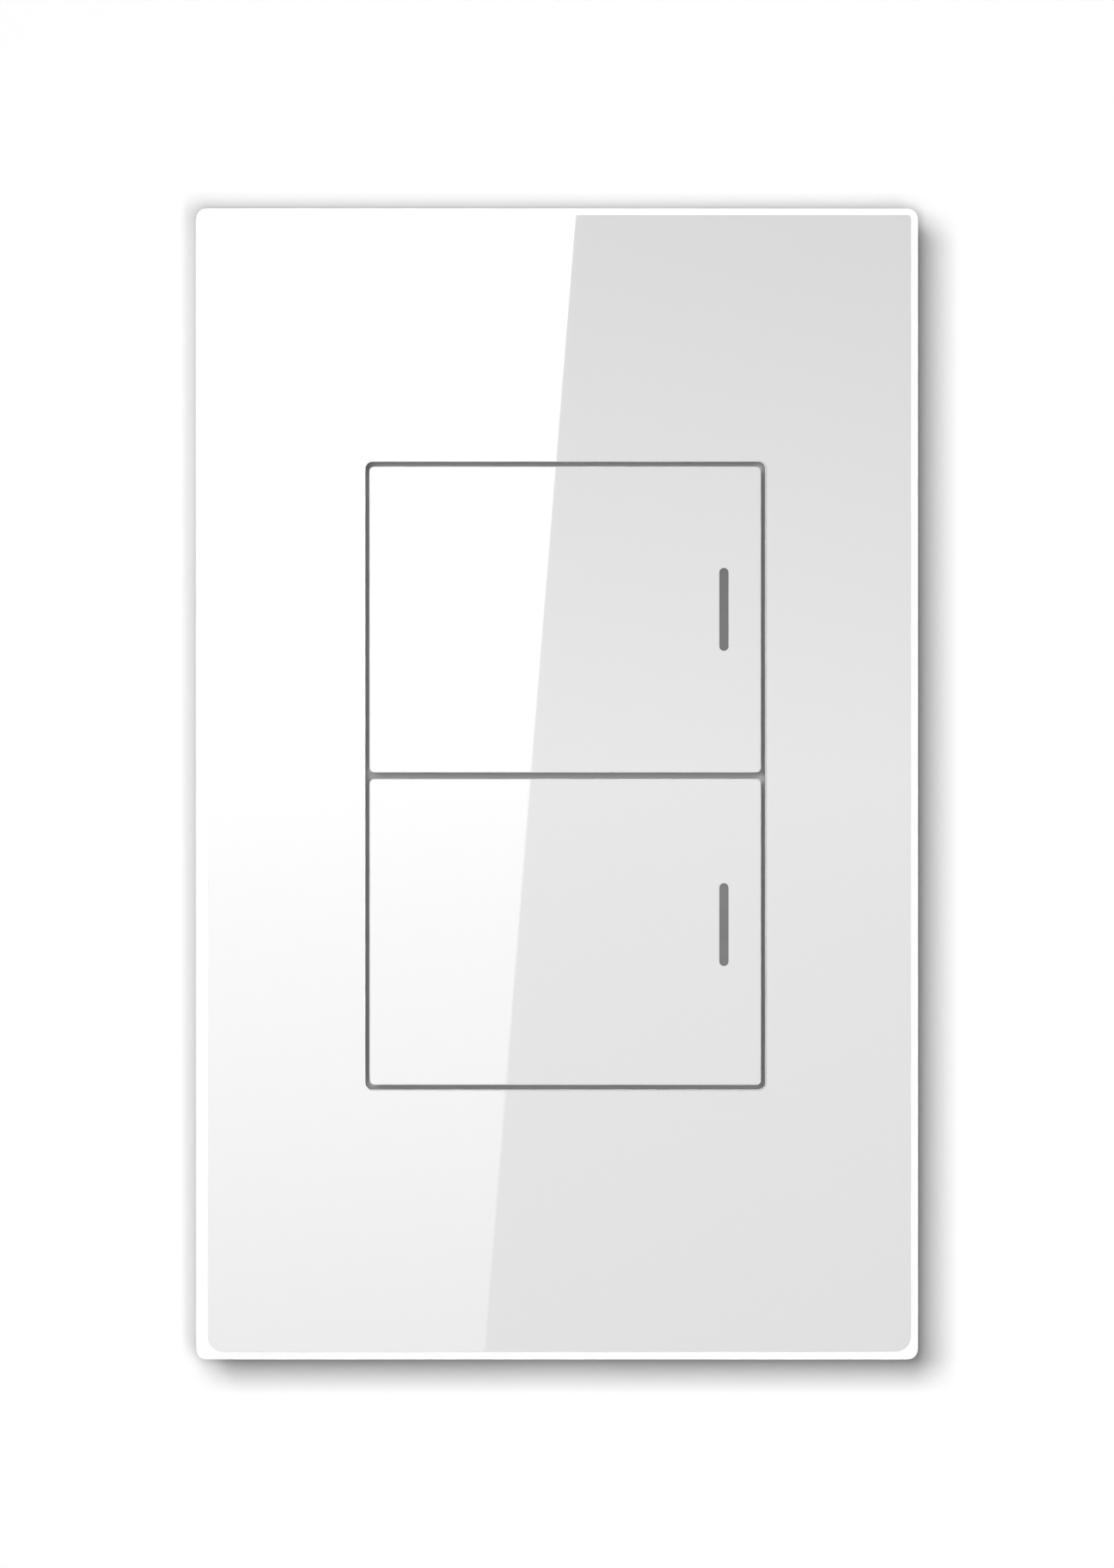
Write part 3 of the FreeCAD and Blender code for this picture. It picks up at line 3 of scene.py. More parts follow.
import logging
import math
from abc import ABC, abstractmethod
from dataclasses import dataclass
from enum import Enum
from functools import cached_property
from itertools import product
from typing import Iterable, Optional, Sequence, Union

import bmesh
import bpy
from mathutils import Matrix, Vector


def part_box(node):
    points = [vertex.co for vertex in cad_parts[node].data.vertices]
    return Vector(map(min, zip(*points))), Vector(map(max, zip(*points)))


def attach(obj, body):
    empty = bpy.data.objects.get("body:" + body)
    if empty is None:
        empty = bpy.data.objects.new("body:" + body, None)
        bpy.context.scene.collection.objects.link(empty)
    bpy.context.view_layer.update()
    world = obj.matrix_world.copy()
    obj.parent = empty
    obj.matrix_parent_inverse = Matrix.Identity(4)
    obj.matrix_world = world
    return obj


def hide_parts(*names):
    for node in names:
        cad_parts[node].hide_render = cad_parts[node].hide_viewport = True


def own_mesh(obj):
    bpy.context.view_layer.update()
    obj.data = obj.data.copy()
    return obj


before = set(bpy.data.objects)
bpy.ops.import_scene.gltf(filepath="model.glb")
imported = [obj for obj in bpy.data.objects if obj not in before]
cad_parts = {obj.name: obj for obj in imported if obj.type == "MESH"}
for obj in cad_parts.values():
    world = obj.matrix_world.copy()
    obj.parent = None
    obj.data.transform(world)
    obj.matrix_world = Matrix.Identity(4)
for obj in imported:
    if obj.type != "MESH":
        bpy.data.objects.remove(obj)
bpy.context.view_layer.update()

Colour = tuple[float, float, float]
Triple = tuple[float, float, float]
Number = Union["Signal", float]

LOG = logging.getLogger("wall_switch")
MM = 0.001
MERGE = 1e-7  # metres: closer points become one
ON_CUT = 1e-8  # metres: a closer point lies on a cutting plane
SHARP = math.radians(35.0)  # edges that turn further stay sharp
FACE_Y = -9.2 * MM  # front of the glass and the keys
WHITE: Colour = (0.756, 0.756, 0.756)


class Body(Enum):
    """The bodies that new pieces ride on."""

    MODULE = "module"
    SCREW_1 = "screw_1"
    SCREW_2 = "screw_2"
    SCREW_3 = "screw_3"
    SCREW_4 = "screw_4"


class Grain(Enum):
    """Surface of a mould: the size of its grain and its depth, in metres."""

    POLISHED = (0.9 * MM, 0.0004 * MM)
    SATIN = (0.14 * MM, 0.0025 * MM)
    SPARK = (0.26 * MM, 0.008 * MM)


class Metal(Enum):
    """Colours of bare and plated metals."""

    ZINC = (0.66, 0.67, 0.69)
    STEEL = (0.56, 0.56, 0.57)
    TIN = (0.72, 0.72, 0.71)
    BRASS = (0.72, 0.52, 0.22)
    ALUMINIUM = (0.78, 0.79, 0.80)


class Working(Enum):
    """How a metal surface was worked, as the stretch of its marks along X, Y and Z."""

    TUMBLED = (1.0, 1.0, 1.0)
    ROLLED = (1.0, 1.0, 40.0)
    STAMPED = (12.0, 1.0, 1.0)


class Signal:
    """A number that varies over a surface, with the arithmetic of plain numbers."""

    def __init__(self, recipe: "Recipe", socket: bpy.types.NodeSocket) -> None:
        """Wrap an output socket of a recipe's nodes."""
        self.recipe = recipe
        self.socket = socket

    def __add__(self, other: Number) -> "Signal":
        """Sum."""
        return self.recipe.maths("ADD", self, other)

    def __radd__(self, other: Number) -> "Signal":
        """Sum, number first."""
        return self.recipe.maths("ADD", other, self)

    def __sub__(self, other: Number) -> "Signal":
        """Difference."""
        return self.recipe.maths("SUBTRACT", self, other)

    def __rsub__(self, other: Number) -> "Signal":
        """Difference, number first."""
        return self.recipe.maths("SUBTRACT", other, self)

    def __mul__(self, other: Number) -> "Signal":
        """Product."""
        return self.recipe.maths("MULTIPLY", self, other)

    def __rmul__(self, other: Number) -> "Signal":
        """Product, number first."""
        return self.recipe.maths("MULTIPLY", other, self)

    def __abs__(self) -> "Signal":
        """Size without sign."""
        return self.recipe.maths("ABSOLUTE", self)


class Recipe:
    """The node tree of one finish, card of light or surroundings."""

    BAND_BLEND = 0.03  # half the soft edge of a stripe, as a share of its pitch
    LINE_BLEND = 0.02 * MM  # half the soft edge of a printed line

    def __init__(self, owner: Union[bpy.types.Material, bpy.types.World]) -> None:
        """Start with an empty tree.

        Args:
            owner: what the tree belongs to.
        """
        self.owner = owner
        owner.use_nodes = True
        self.tree = owner.node_tree
        self.tree.nodes.clear()

    @cached_property
    def where(self) -> bpy.types.NodeSocket:
        """Place of the surface point, in the frame's metres."""
        return self.node("ShaderNodeTexCoord").outputs["Object"]

    @cached_property
    def axes(self) -> tuple["Signal", ...]:
        """The place along X, Y and Z."""
        parts = self.node("ShaderNodeSeparateXYZ", sockets={0: self.where})
        return tuple(Signal(self, out) for out in parts.outputs)

    @property
    def x(self) -> "Signal":
        """Place along X."""
        return self.axes[0]

    @property
    def y(self) -> "Signal":
        """Place along Y."""
        return self.axes[1]

    @property
    def z(self) -> "Signal":
        """Place along Z."""
        return self.axes[2]

    def node(
        self,
        kind: str,
        settings: Optional[dict[str, object]] = None,
        sockets: Optional[dict[Union[str, int], object]] = None,
    ) -> bpy.types.Node:
        """Add one node.

        Args:
            kind: the node's type.
            settings: its properties, or a ramp's stops, set before its sockets.
            sockets: a value, a socket or a Signal for each input, by name or number.

        Returns:
            The node.
        """
        made = self.tree.nodes.new(kind)
        for name, value in (settings or {}).items():
            if name == "stops":
                made.color_ramp.elements.remove(made.color_ramp.elements[1])
                made.color_ramp.elements[0].position = value[0][0]
                for place, _ in value[1:]:
                    made.color_ramp.elements.new(place)
                for element, (_, level) in zip(made.color_ramp.elements, value):
                    element.color = (level, level, level, 1.0)
            else:
                setattr(made, name, value)
        for name, value in (sockets or {}).items():
            socket = made.inputs[name]
            if isinstance(value, Signal):
                self.tree.links.new(value.socket, socket)
            elif isinstance(value, bpy.types.NodeSocket):
                self.tree.links.new(value, socket)
            elif socket.type == "RGBA" and len(value) == 3:
                socket.default_value = (*value, 1.0)
            else:
                socket.default_value = value
        return made

    def signal(
        self,
        output: Union[str, int],
        kind: str,
        settings: Optional[dict[str, object]] = None,
        sockets: Optional[dict[Union[str, int], object]] = None,
    ) -> Signal:
        """Add one node and take the number from one of its outputs."""
        return Signal(self, self.node(kind, settings, sockets).outputs[output])

    def maths(self, operation: str, *values: Number) -> Signal:
        """One step of arithmetic on signals and numbers."""
        return self.signal(0, "ShaderNodeMath", {"operation": operation}, dict(enumerate(values)))

    def step(self, value: Number, start: float, end: float) -> Signal:
        """0 before start and 1 after end, smooth between."""
        sockets = {"Value": value, "From Min": start, "From Max": end}
        return self.signal("Result", "ShaderNodeMapRange", {"interpolation_type": "SMOOTHSTEP"}, sockets)

    def mapped(self, size: float, stretch: Triple) -> bpy.types.NodeSocket:
        """Place in units of a pattern's size, stretched along each axis."""
        scale = [1.0 / (size * share) for share in stretch]
        return self.node("ShaderNodeMapping", sockets={"Vector": self.where, "Scale": scale}).outputs[0]

    def noise(self, size: float, detail: float = 2.0, stretch: Triple = (1.0, 1.0, 1.0)) -> Signal:
        """Soft random pattern.

        Args:
            size: size of its features, in metres.
            detail: how many finer layers it has.
            stretch: how much longer its features are along X, Y and Z.

        Returns:
            A signal around 0.5.
        """
        sockets = {"Vector": self.mapped(size, stretch), "Scale": 1.0, "Detail": detail}
        return self.signal(0, "ShaderNodeTexNoise", sockets=sockets)

    def cells(self, size: float, scatter: float = 1.0) -> bpy.types.Node:
        """Cell pattern.

        Args:
            size: size of a cell, in metres.
            scatter: 0 for a square grid, 1 for random places.

        Returns:
            The texture node, with the distance from each cell's middle and a colour per cell.
        """
        sockets = {"Vector": self.mapped(size, (1.0, 1.0, 1.0)), "Scale": 1.0, "Randomness": scatter}
        return self.node("ShaderNodeTexVoronoi", sockets=sockets)

    def bands(self, place: Signal, pitch: float, share: float) -> Signal:
        """Stripes across one axis: 1 on a share of each pitch."""
        phase = abs(self.maths("FRACT", place * (1.0 / pitch)) - 0.5)
        return self.step(phase, share / 2 + self.BAND_BLEND, share / 2 - self.BAND_BLEND)

    def line(self, away: Signal, half: float, blend: float = LINE_BLEND) -> Signal:
        """1 within half a line's width of its middle, with soft edges."""
        return self.step(abs(away), half + blend, half - blend)

    def radius(self, centre: Vector) -> Signal:
        """Distance from an axis along Y.

        Args:
            centre: a point on the axis.

        Returns:
            The distance in metres.
        """
        across = self.x - centre.x
        up = self.z - centre.z
        return self.maths("SQRT", across * across + up * up)

    def border(self, centre: Vector, width: float, height: float, radius: float) -> Signal:
        """Distance outside a rounded rectangle seen from the front, below zero inside it.

        Args:
            centre: its middle.
            width: its size along X.
            height: its size along Z.
            radius: radius of its corners.

        Returns:
            The distance in metres.
        """
        across = abs(self.x - centre.x) - (width / 2 - radius)
        up = abs(self.z - centre.z) - (height / 2 - radius)
        beyond_x = self.maths("MAXIMUM", across, 0.0)
        beyond_z = self.maths("MAXIMUM", up, 0.0)
        corner = self.maths("SQRT", beyond_x * beyond_x + beyond_z * beyond_z)
        within = self.maths("MINIMUM", self.maths("MAXIMUM", across, up), 0.0)
        return corner + within - radius

    def mix(self, mask: Number, base: object, top: object) -> bpy.types.NodeSocket:
        """Colour that goes from base to top as the mask goes from 0 to 1."""
        return self.node("ShaderNodeMix", {"data_type": "RGBA"}, {0: mask, 6: base, 7: top}).outputs[2]

    def bump(self, height: Signal, depth: float) -> bpy.types.NodeSocket:
        """Relief of a given depth in metres."""
        return self.node("ShaderNodeBump", sockets={"Distance": depth, "Height": height}).outputs[0]

    def surface(self, **sockets: object) -> bpy.types.Material:
        """Finish the tree with its shader.

        Args:
            sockets: the shader's inputs, with underscores for the spaces in their names.

        Returns:
            The material.
        """
        named = {name.replace("_", " "): value for name, value in sockets.items()}
        return self.show(self.node("ShaderNodeBsdfPrincipled", sockets=named).outputs[0])

    def show(self, shader: bpy.types.NodeSocket) -> Union[bpy.types.Material, bpy.types.World]:
        """End the tree with a shader.

        Args:
            shader: the shader's output.

        Returns:
            The tree's owner.
        """
        kind = "World" if isinstance(self.owner, bpy.types.World) else "Material"
        self.node(f"ShaderNodeOutput{kind}", sockets={"Surface": shader})
        return self.owner


def finish(name: str) -> Recipe:
    """Start a material's tree."""
    return Recipe(bpy.data.materials.new(name))


def tint(colour: Colour, share: float) -> Colour:
    """A colour made darker or lighter by a share."""
    return tuple(min(1.0, part * share) for part in colour)


@dataclass(frozen=True)
class Opening:
    """A rounded opening in a plate, with the width and grey of a line of painted shade round its rim."""

    centre: Vector
    width: float
    height: float
    radius: float
    line: float
    colour: Colour


@dataclass(frozen=True)
class Glaze:
    """Polished white face with ground edges, and a line of painted shade round an opening.

    The ground edge begins and ends at depths behind the face. The cut sides follow it. The ground edge's normal is
    turned to the front so that it is lit as the face is, and its colour then paints how light or dark it reads.
    """

    face: Colour
    edge: Colour
    shaft: Colour
    face_y: float
    edge_depth: float
    opening: Optional[Opening] = None
    roughness: float = 0.008
    edge_roughness: float = 0.22
    ground_from: float = 0.004 * MM
    ground_to: float = 0.02 * MM
    side_blend: float = 0.15 * MM
    cloud_size: float = 28 * MM
    ground_grain: float = 0.3 * MM
    cut_grain: float = 0.6 * MM

    def material(self, name: str) -> bpy.types.Material:
        """Build the finish: the face, the ground edge next to it and the cut sides behind.

        Args:
            name: the material's name.

        Returns:
            The material.
        """
        recipe = finish(name)
        depth = recipe.y - self.face_y
        ground = recipe.step(depth, self.ground_from, self.ground_to)
        side = recipe.step(depth, self.edge_depth, self.edge_depth + self.side_blend)
        cloud = recipe.noise(self.cloud_size, 3.0)
        face = recipe.mix(cloud, tint(self.face, 0.997), tint(self.face, 1.003))
        edge = recipe.mix(recipe.noise(self.ground_grain), tint(self.edge, 0.985), self.edge)
        if self.opening:
            hole = self.opening
            away = recipe.border(hole.centre, hole.width, hole.height, hole.radius)
            # painted shade: a grey line round the opening's rim, in place of the shade on its edge beside the groove
            darkened = recipe.step(away, hole.line, hole.line / 2)
            face = recipe.mix(darkened, face, hole.colour)
            edge = recipe.mix(darkened, edge, hole.colour)
        streaks = recipe.noise(self.cut_grain, stretch=(1.0, 4.0, 1.0))
        cut = recipe.mix(streaks, tint(self.shaft, 0.94), self.shaft)
        haze = self.roughness + cloud * 0.002
        # painted light: on the ground edge the normal is turned towards the front, so the edge is lit as the face is
        normal = recipe.node("ShaderNodeNewGeometry").outputs["Normal"]
        towards = {0: ground * (1.0 - side), 4: normal, 5: (0.0, -1.0, 0.0)}
        return recipe.surface(
            Base_Color=recipe.mix(side, recipe.mix(ground, face, edge), cut),
            Roughness=haze + ground * self.edge_roughness,
            Normal=recipe.node("ShaderNodeMix", {"data_type": "VECTOR"}, towards).outputs[1],
            IOR=1.5,
        )


@dataclass(frozen=True)
class Moulding:
    """Moulded plastic with the grain of its mould and the faint flow marks of a big wall."""

    colour: Colour
    roughness: float
    grain: Grain = Grain.SATIN
    flow: float = 0.03
    flow_size: float = 9 * MM

    def material(self, name: str) -> bpy.types.Material:
        """Build the finish.

        Args:
            name: the material's name.

        Returns:
            The material.
        """
        recipe = finish(name)
        size, depth = self.grain.value
        grit = recipe.noise(size, 3.0)
        flow = recipe.noise(self.flow_size, stretch=(1.0, 1.0, 2.5))
        dark = tint(self.colour, 1.0 - self.flow)
        light = tint(self.colour, 1.0 + self.flow)
        return recipe.surface(
            Base_Color=recipe.mix(flow * 0.7 + grit * 0.3, dark, light),
            Roughness=self.roughness + (flow - 0.5) * 0.08 + (grit - 0.5) * 0.1,
            Normal=recipe.bump(grit, depth),
            IOR=1.49,
        )


@dataclass(frozen=True)
class Plating:
    """Bare or plated metal with the marks of its working."""

    metal: Metal
    roughness: float
    working: Working = Working.TUMBLED
    mark: float = 0.12 * MM
    mark_depth: float = 0.002 * MM
    bloom_size: float = 3.5 * MM

    def material(self, name: str) -> bpy.types.Material:
        """Build the finish.

        Args:
            name: the material's name.

        Returns:
            The material.
        """
        recipe = finish(name)
        marks = recipe.noise(self.mark, 4.0, self.working.value)
        bloom = recipe.noise(self.bloom_size)
        darkened = tint(self.metal.value, 0.86)
        bright = tint(self.metal.value, 1.08)
        return recipe.surface(
            Base_Color=recipe.mix(bloom * 0.6 + marks * 0.4, darkened, bright),
            Metallic=1.0,
            Roughness=self.roughness + (marks - 0.5) * 0.18 + (bloom - 0.5) * 0.1,
            Normal=recipe.bump(marks, self.mark_depth),
        )


@dataclass(frozen=True)
class Spangle:
    """Zinc-plated sheet: a soft crystal pattern over rolling marks."""

    metal: Metal = Metal.ZINC
    crystal: float = 2.6 * MM
    mark: float = 0.1 * MM
    mark_depth: float = 0.0015 * MM

    def material(self, name: str) -> bpy.types.Material:
        """Build the finish.

        Args:
            name: the material's name.

        Returns:
            The material.
        """
        recipe = finish(name)
        crystals = recipe.cells(self.crystal)
        shade = recipe.signal(0, "ShaderNodeSeparateColor", sockets={0: crystals.outputs["Color"]})
        rolled = recipe.noise(self.mark, 3.0, Working.ROLLED.value)
        dark = tint(self.metal.value, 0.9)
        light = tint(self.metal.value, 1.06)
        return recipe.surface(
            Base_Color=recipe.mix(shade * 0.7 + rolled * 0.3, dark, light),
            Metallic=1.0,
            Roughness=0.34 + (shade - 0.5) * 0.08 + (rolled - 0.5) * 0.1,
            Normal=recipe.bump(rolled, self.mark_depth),
        )


@dataclass(frozen=True)
class Laminate:
    """Circuit board: solder resist over copper tracks, bare pads, and outlines printed round its parts."""

    resist: Colour
    track: Colour
    parts: tuple[str, ...] = ()
    pad: Colour = (0.66, 0.65, 0.6)
    ink: Colour = (0.78, 0.79, 0.77)
    pitch: float = 2.54 * MM
    margin: float = 0.45 * MM
    ink_half: float = 0.08 * MM
    track_region: float = 6 * MM
    pad_region: float = 3 * MM
    sheen_size: float = 1.5 * MM
    relief: float = 0.03 * MM

    def material(self, name: str) -> bpy.types.Material:
        """Build the finish: tracks in both directions, each in its own regions, and pads on a grid.

        Args:
            name: the material's name.

        Returns:
            The material.
        """
        recipe = finish(name)
        upright = recipe.bands(recipe.x, self.pitch / 3, 0.34)
        level = recipe.bands(recipe.z, self.pitch / 2.5, 0.3)
        region = recipe.noise(self.track_region, 1.0)
        tracks = upright * recipe.step(region, 0.5, 0.52) + level * recipe.step(region, 0.46, 0.44)
        spot = Signal(recipe, recipe.cells(self.pitch / 2, scatter=0.0).outputs["Distance"])
        pads = recipe.step(spot, 0.24, 0.19) * recipe.step(recipe.noise(self.pad_region, 1.0), 0.6, 0.64)
        green = recipe.mix(tracks, self.resist, self.track)
        for part in self.parts:
            green = recipe.mix(self.printed(recipe, part), green, self.ink)
        return recipe.surface(
            Base_Color=recipe.mix(pads, green, self.pad),
            Metallic=pads * 0.9,
            Roughness=0.34 - pads * 0.08 + recipe.noise(self.sheen_size) * 0.05,
            Normal=recipe.bump(tracks + pads, self.relief),
        )

    def printed(self, recipe: Recipe, part: str) -> Signal:
        """Print the line round one part of the board.

        Args:
            recipe: the board's tree.
            part: the part.

        Returns:
            1 on the line.
        """
        low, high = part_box(part)
        width = high.x - low.x + 2 * self.margin
        height = high.z - low.z + 2 * self.margin
        return recipe.line(recipe.border((low + high) / 2, width, height, self.margin), self.ink_half)


@dataclass(frozen=True)
class Wrap:
    """Polyester tape wound in overlapping turns."""

    colour: Colour
    turn: float = 1.1 * MM
    climb: float = 0.04
    overlap: float = 0.1
    sheen_size: float = 1.2 * MM
    thickness: float = 0.03 * MM

    def material(self, name: str) -> bpy.types.Material:
        """Build the finish.

        Args:
            name: the material's name.

        Returns:
            The material.
        """
        recipe = finish(name)
        edge = recipe.bands(recipe.z + recipe.x * self.climb, self.turn, self.overlap)
        sheen = recipe.noise(self.sheen_size, stretch=(1.0, 1.0, 0.3))
        body = recipe.mix(sheen, tint(self.colour, 0.88), tint(self.colour, 1.06))
        return recipe.surface(
            Base_Color=recipe.mix(edge, body, tint(self.colour, 0.62)),
            Roughness=0.24 + sheen * 0.14,
            Normal=recipe.bump(edge, self.thickness),
            IOR=1.6,
        )


@dataclass(frozen=True)
class Sleeve:
    """Round capacitor: a shrink sleeve with a pale band, and a scored aluminium top.

    Each border is given by where it begins and ends: the top's as depths in metres, the others as shares of
    the radius.
    """

    node: str
    colour: Colour = (0.025, 0.03, 0.045)
    band: Colour = (0.42, 0.44, 0.46)
    top_border: tuple[float, float] = (0.06 * MM, 0.02 * MM)
    can_border: tuple[float, float] = (0.86, 0.82)
    band_border: tuple[float, float] = (0.78, 0.84)
    score_half: float = 0.16 * MM
    score_blend: float = 0.06 * MM
    score_depth: float = 0.12 * MM
    sheen_size: float = 1.0 * MM

    def material(self, name: str) -> bpy.types.Material:
        """Build the finish round the capacitor's own axis.

        Args:
            name: the material's name.

        Returns:
            The material.
        """
        recipe = finish(name)
        low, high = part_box(self.node)
        centre = (low + high) / 2
        wide = (high.x - low.x) / 2
        top = recipe.step(recipe.y, *(high.y - depth for depth in self.top_border))
        can = top * recipe.step(recipe.radius(centre), *(wide * share for share in self.can_border))
        upright = recipe.line(recipe.x - centre.x, self.score_half, self.score_blend)
        level = recipe.line(recipe.z - centre.z, self.score_half, self.score_blend)
        cross = recipe.maths("MAXIMUM", upright, level) * can
        stripe = recipe.step(recipe.x, *(centre.x - wide * share for share in self.band_border)) * (1.0 - can)
        sleeve = recipe.mix(stripe, self.colour, self.band)
        return recipe.surface(
            Base_Color=recipe.mix(can, sleeve, tint(Metal.ALUMINIUM.value, 0.95)),
            Metallic=can,
            Roughness=0.26 + can * 0.08 + recipe.noise(self.sheen_size) * 0.06,
            Normal=recipe.bump(1.0 - cross, self.score_depth),
        )


@dataclass(frozen=True)
class Pipe:
    """Unlit light pipe: smoke-grey and smooth, with milky scatter inside."""

    colour: Colour = (0.072, 0.072, 0.072)
    milk_size: float = 1.6 * MM

    def material(self, name: str) -> bpy.types.Material:
        """Build the finish.

        Args:
            name: the material's name.

        Returns:
            The material.
        """
        recipe = finish(name)
        milk = recipe.noise(self.milk_size)
        return recipe.surface(
            Base_Color=recipe.mix(milk, tint(self.colour, 0.97), tint(self.colour, 1.03)),
            Roughness=0.1 + milk * 0.04,
            IOR=1.49,
        )


@dataclass(frozen=True)
class Ferrite:
    """Ground ferrite: dark, with fine pores."""

    colour: Colour = (0.055, 0.055, 0.06)
    pore: float = 0.25 * MM
    pore_depth: float = 0.02 * MM
    wear_size: float = 0.8 * MM

    def material(self, name: str) -> bpy.types.Material:
        """Build the finish.

        Args:
            name: the material's name.

        Returns:
            The material.
        """
        recipe = finish(name)
        pores = recipe.step(Signal(recipe, recipe.cells(self.pore).outputs["Distance"]), 0.12, 0.3)
        return recipe.surface(
            Base_Color=recipe.mix(pores, tint(self.colour, 0.5), self.colour),
            Roughness=0.5 + recipe.noise(self.wear_size) * 0.1,
            Normal=recipe.bump(pores, self.pore_depth),
        )


@dataclass(frozen=True)
class Foam:
    """Cell foam of the bonding tape."""

    colour: Colour
    cell_size: float = 0.18 * MM
    cell_depth: float = 0.03 * MM

    def material(self, name: str) -> bpy.types.Material:
        """Build the finish.

        Args:
            name: the material's name.

        Returns:
            The material.
        """
        recipe = finish(name)
        cell = Signal(recipe, recipe.cells(self.cell_size).outputs["Distance"])
        return recipe.surface(
            Base_Color=recipe.mix(cell, tint(self.colour, 0.82), self.colour),
            Roughness=0.82 + cell * 0.1,
            Normal=recipe.bump(cell, self.cell_depth),
        )


@dataclass(frozen=True)
class PrintedPlate:
    """Blank rating plate: matt foil with a thin printed frame, and one rule above its middle."""

    centre: Vector
    width: float
    height: float
    radius: float
    foil: Colour = (0.72, 0.73, 0.74)
    ink: Colour = (0.08, 0.08, 0.09)
    inset: float = 1.0 * MM
    frame_half: float = 0.1 * MM
    rule_half: float = 0.08 * MM
    rule_up: float = 0.2
    rule_blend: float = 0.05 * MM
    brush_size: float = 0.08 * MM

    def material(self, name: str) -> bpy.types.Material:
        """Build the finish.

        Args:
            name: the material's name.

        Returns:
            The material.
        """
        recipe = finish(name)
        edge = recipe.border(self.centre, self.width, self.height, self.radius)
        line = recipe.line(edge + self.inset, self.frame_half)
        rule = recipe.line(recipe.z - self.centre.z - self.height * self.rule_up, self.rule_half)
        rule = rule * recipe.step(edge, -self.inset, -self.inset - self.rule_blend)
        brushed = recipe.noise(self.brush_size, 3.0, (30.0, 1.0, 1.0))
        foil = recipe.mix(brushed, tint(self.foil, 0.93), tint(self.foil, 1.05))
        return recipe.surface(
            Base_Color=recipe.mix(recipe.maths("MAXIMUM", line, rule), foil, self.ink),
            Roughness=0.36 + brushed * 0.1,
        )


@dataclass(frozen=True)
class Ink:
    """Raised mark, slightly worn."""

    colour: Colour
    wear_size: float = 0.5 * MM

    def material(self, name: str) -> bpy.types.Material:
        """Build the finish.

        Args:
            name: the material's name.

        Returns:
            The material.
        """
        recipe = finish(name)
        wear = recipe.noise(self.wear_size, 3.0)
        return recipe.surface(
            Base_Color=recipe.mix(wear, tint(self.colour, 0.85), self.colour),
            Roughness=0.45 + wear * 0.1,
        )


def dress(nodes: Iterable[str], material: bpy.types.Material) -> None:
    """Give CAD sub-parts their finish and report each.

    Args:
        nodes: names of the sub-parts.
        material: their finish.
    """
    for name in nodes:
        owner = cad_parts[name]
        if not owner.material_slots:
            owner.data.materials.append(material)
        for slot in owner.material_slots:
            slot.material = material
        LOG.info("%s: %s", name, material.name)


def piece(
    name: str,
    made: bmesh.types.BMesh,
    body: Body,
    materials: Sequence[bpy.types.Material],
) -> bpy.types.Object:
    """Turn a finished bmesh into a piece that rides on a body, and report it.

    Args:
        name: the piece's name.
        made: its shape, in the frame's metres; freed here.
        body: the body that it moves with.
        materials: its finishes.

    Returns:
        The object.
    """
    bmesh.ops.remove_doubles(made, verts=made.verts, dist=MERGE)
    bmesh.ops.recalc_face_normals(made, faces=made.faces)
    mesh = bpy.data.meshes.new(name)
    made.to_mesh(mesh)
    made.free()
    mesh.shade_smooth()
    mesh.set_sharp_from_angle(angle=SHARP)
    for material in materials:
        mesh.materials.append(material)
    owner = bpy.data.objects.new(name, mesh)
    bpy.context.scene.collection.objects.link(owner)
    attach(owner, body.value)
    LOG.info("%s: %d faces on %s", name, len(mesh.polygons), body.value)
    return owner


def along_y(at: Vector) -> Matrix:
    """Turns a shape's own Z to +Y and puts it in its place."""
    return Matrix.Translation(at) @ Matrix.Rotation(-math.pi / 2, 4, "X")


def copies(shape: bmesh.types.BMesh, places: Iterable[Matrix]) -> bmesh.types.BMesh:
    """Repeat a small shape.

    Args:
        shape: the shape, at the origin; freed here.
        places: where each copy stands.

    Returns:
        One mesh with all the copies.
    """
    bmesh.ops.remove_doubles(shape, verts=shape.verts, dist=MERGE)
    bmesh.ops.recalc_face_normals(shape, faces=shape.faces)
    mesh = bpy.data.meshes.new("copied")
    shape.to_mesh(mesh)
    shape.free()
    made = bmesh.new()
    for place in places:
        before = len(made.verts)
        made.from_mesh(mesh)
        made.verts.ensure_lookup_table()
        bmesh.ops.transform(made, matrix=place, verts=made.verts[before:])
    bpy.data.meshes.remove(mesh)
    return made


def block(size: Triple, centre: Vector) -> bmesh.types.BMesh:
    """Make a box with its sides along the axes.

    Args:
        size: its lengths along X, Y and Z.
        centre: its middle.

    Returns:
        The shape.
    """
    made = bmesh.new()
    bmesh.ops.create_cube(made, size=1.0)
    bmesh.ops.transform(made, matrix=Matrix.Translation(centre) @ Matrix.Diagonal((*size, 1.0)), verts=made.verts)
    return made


def edges_along_y(made: bmesh.types.BMesh, least: float) -> list[bmesh.types.BMEdge]:
    """Edges that reach further than a length along Y."""
    return [edge for edge in made.edges if abs(edge.verts[0].co.y - edge.verts[1].co.y) > least]


def round_edges(made: bmesh.types.BMesh, edges: Sequence[bmesh.types.BMEdge], radius: float, segments: int) -> None:
    """Round some edges of a shape.

    Args:
        made: the shape.
        edges: the edges to round.
        radius: their radius.
        segments: faces across each round.
    """
    bmesh.ops.bevel(
        made,
        geom=edges,
        offset=radius,
        offset_type="OFFSET",
        affect="EDGES",
        segments=segments,
        profile=0.5,
        material=-1,
        clamp_overlap=True,
    )


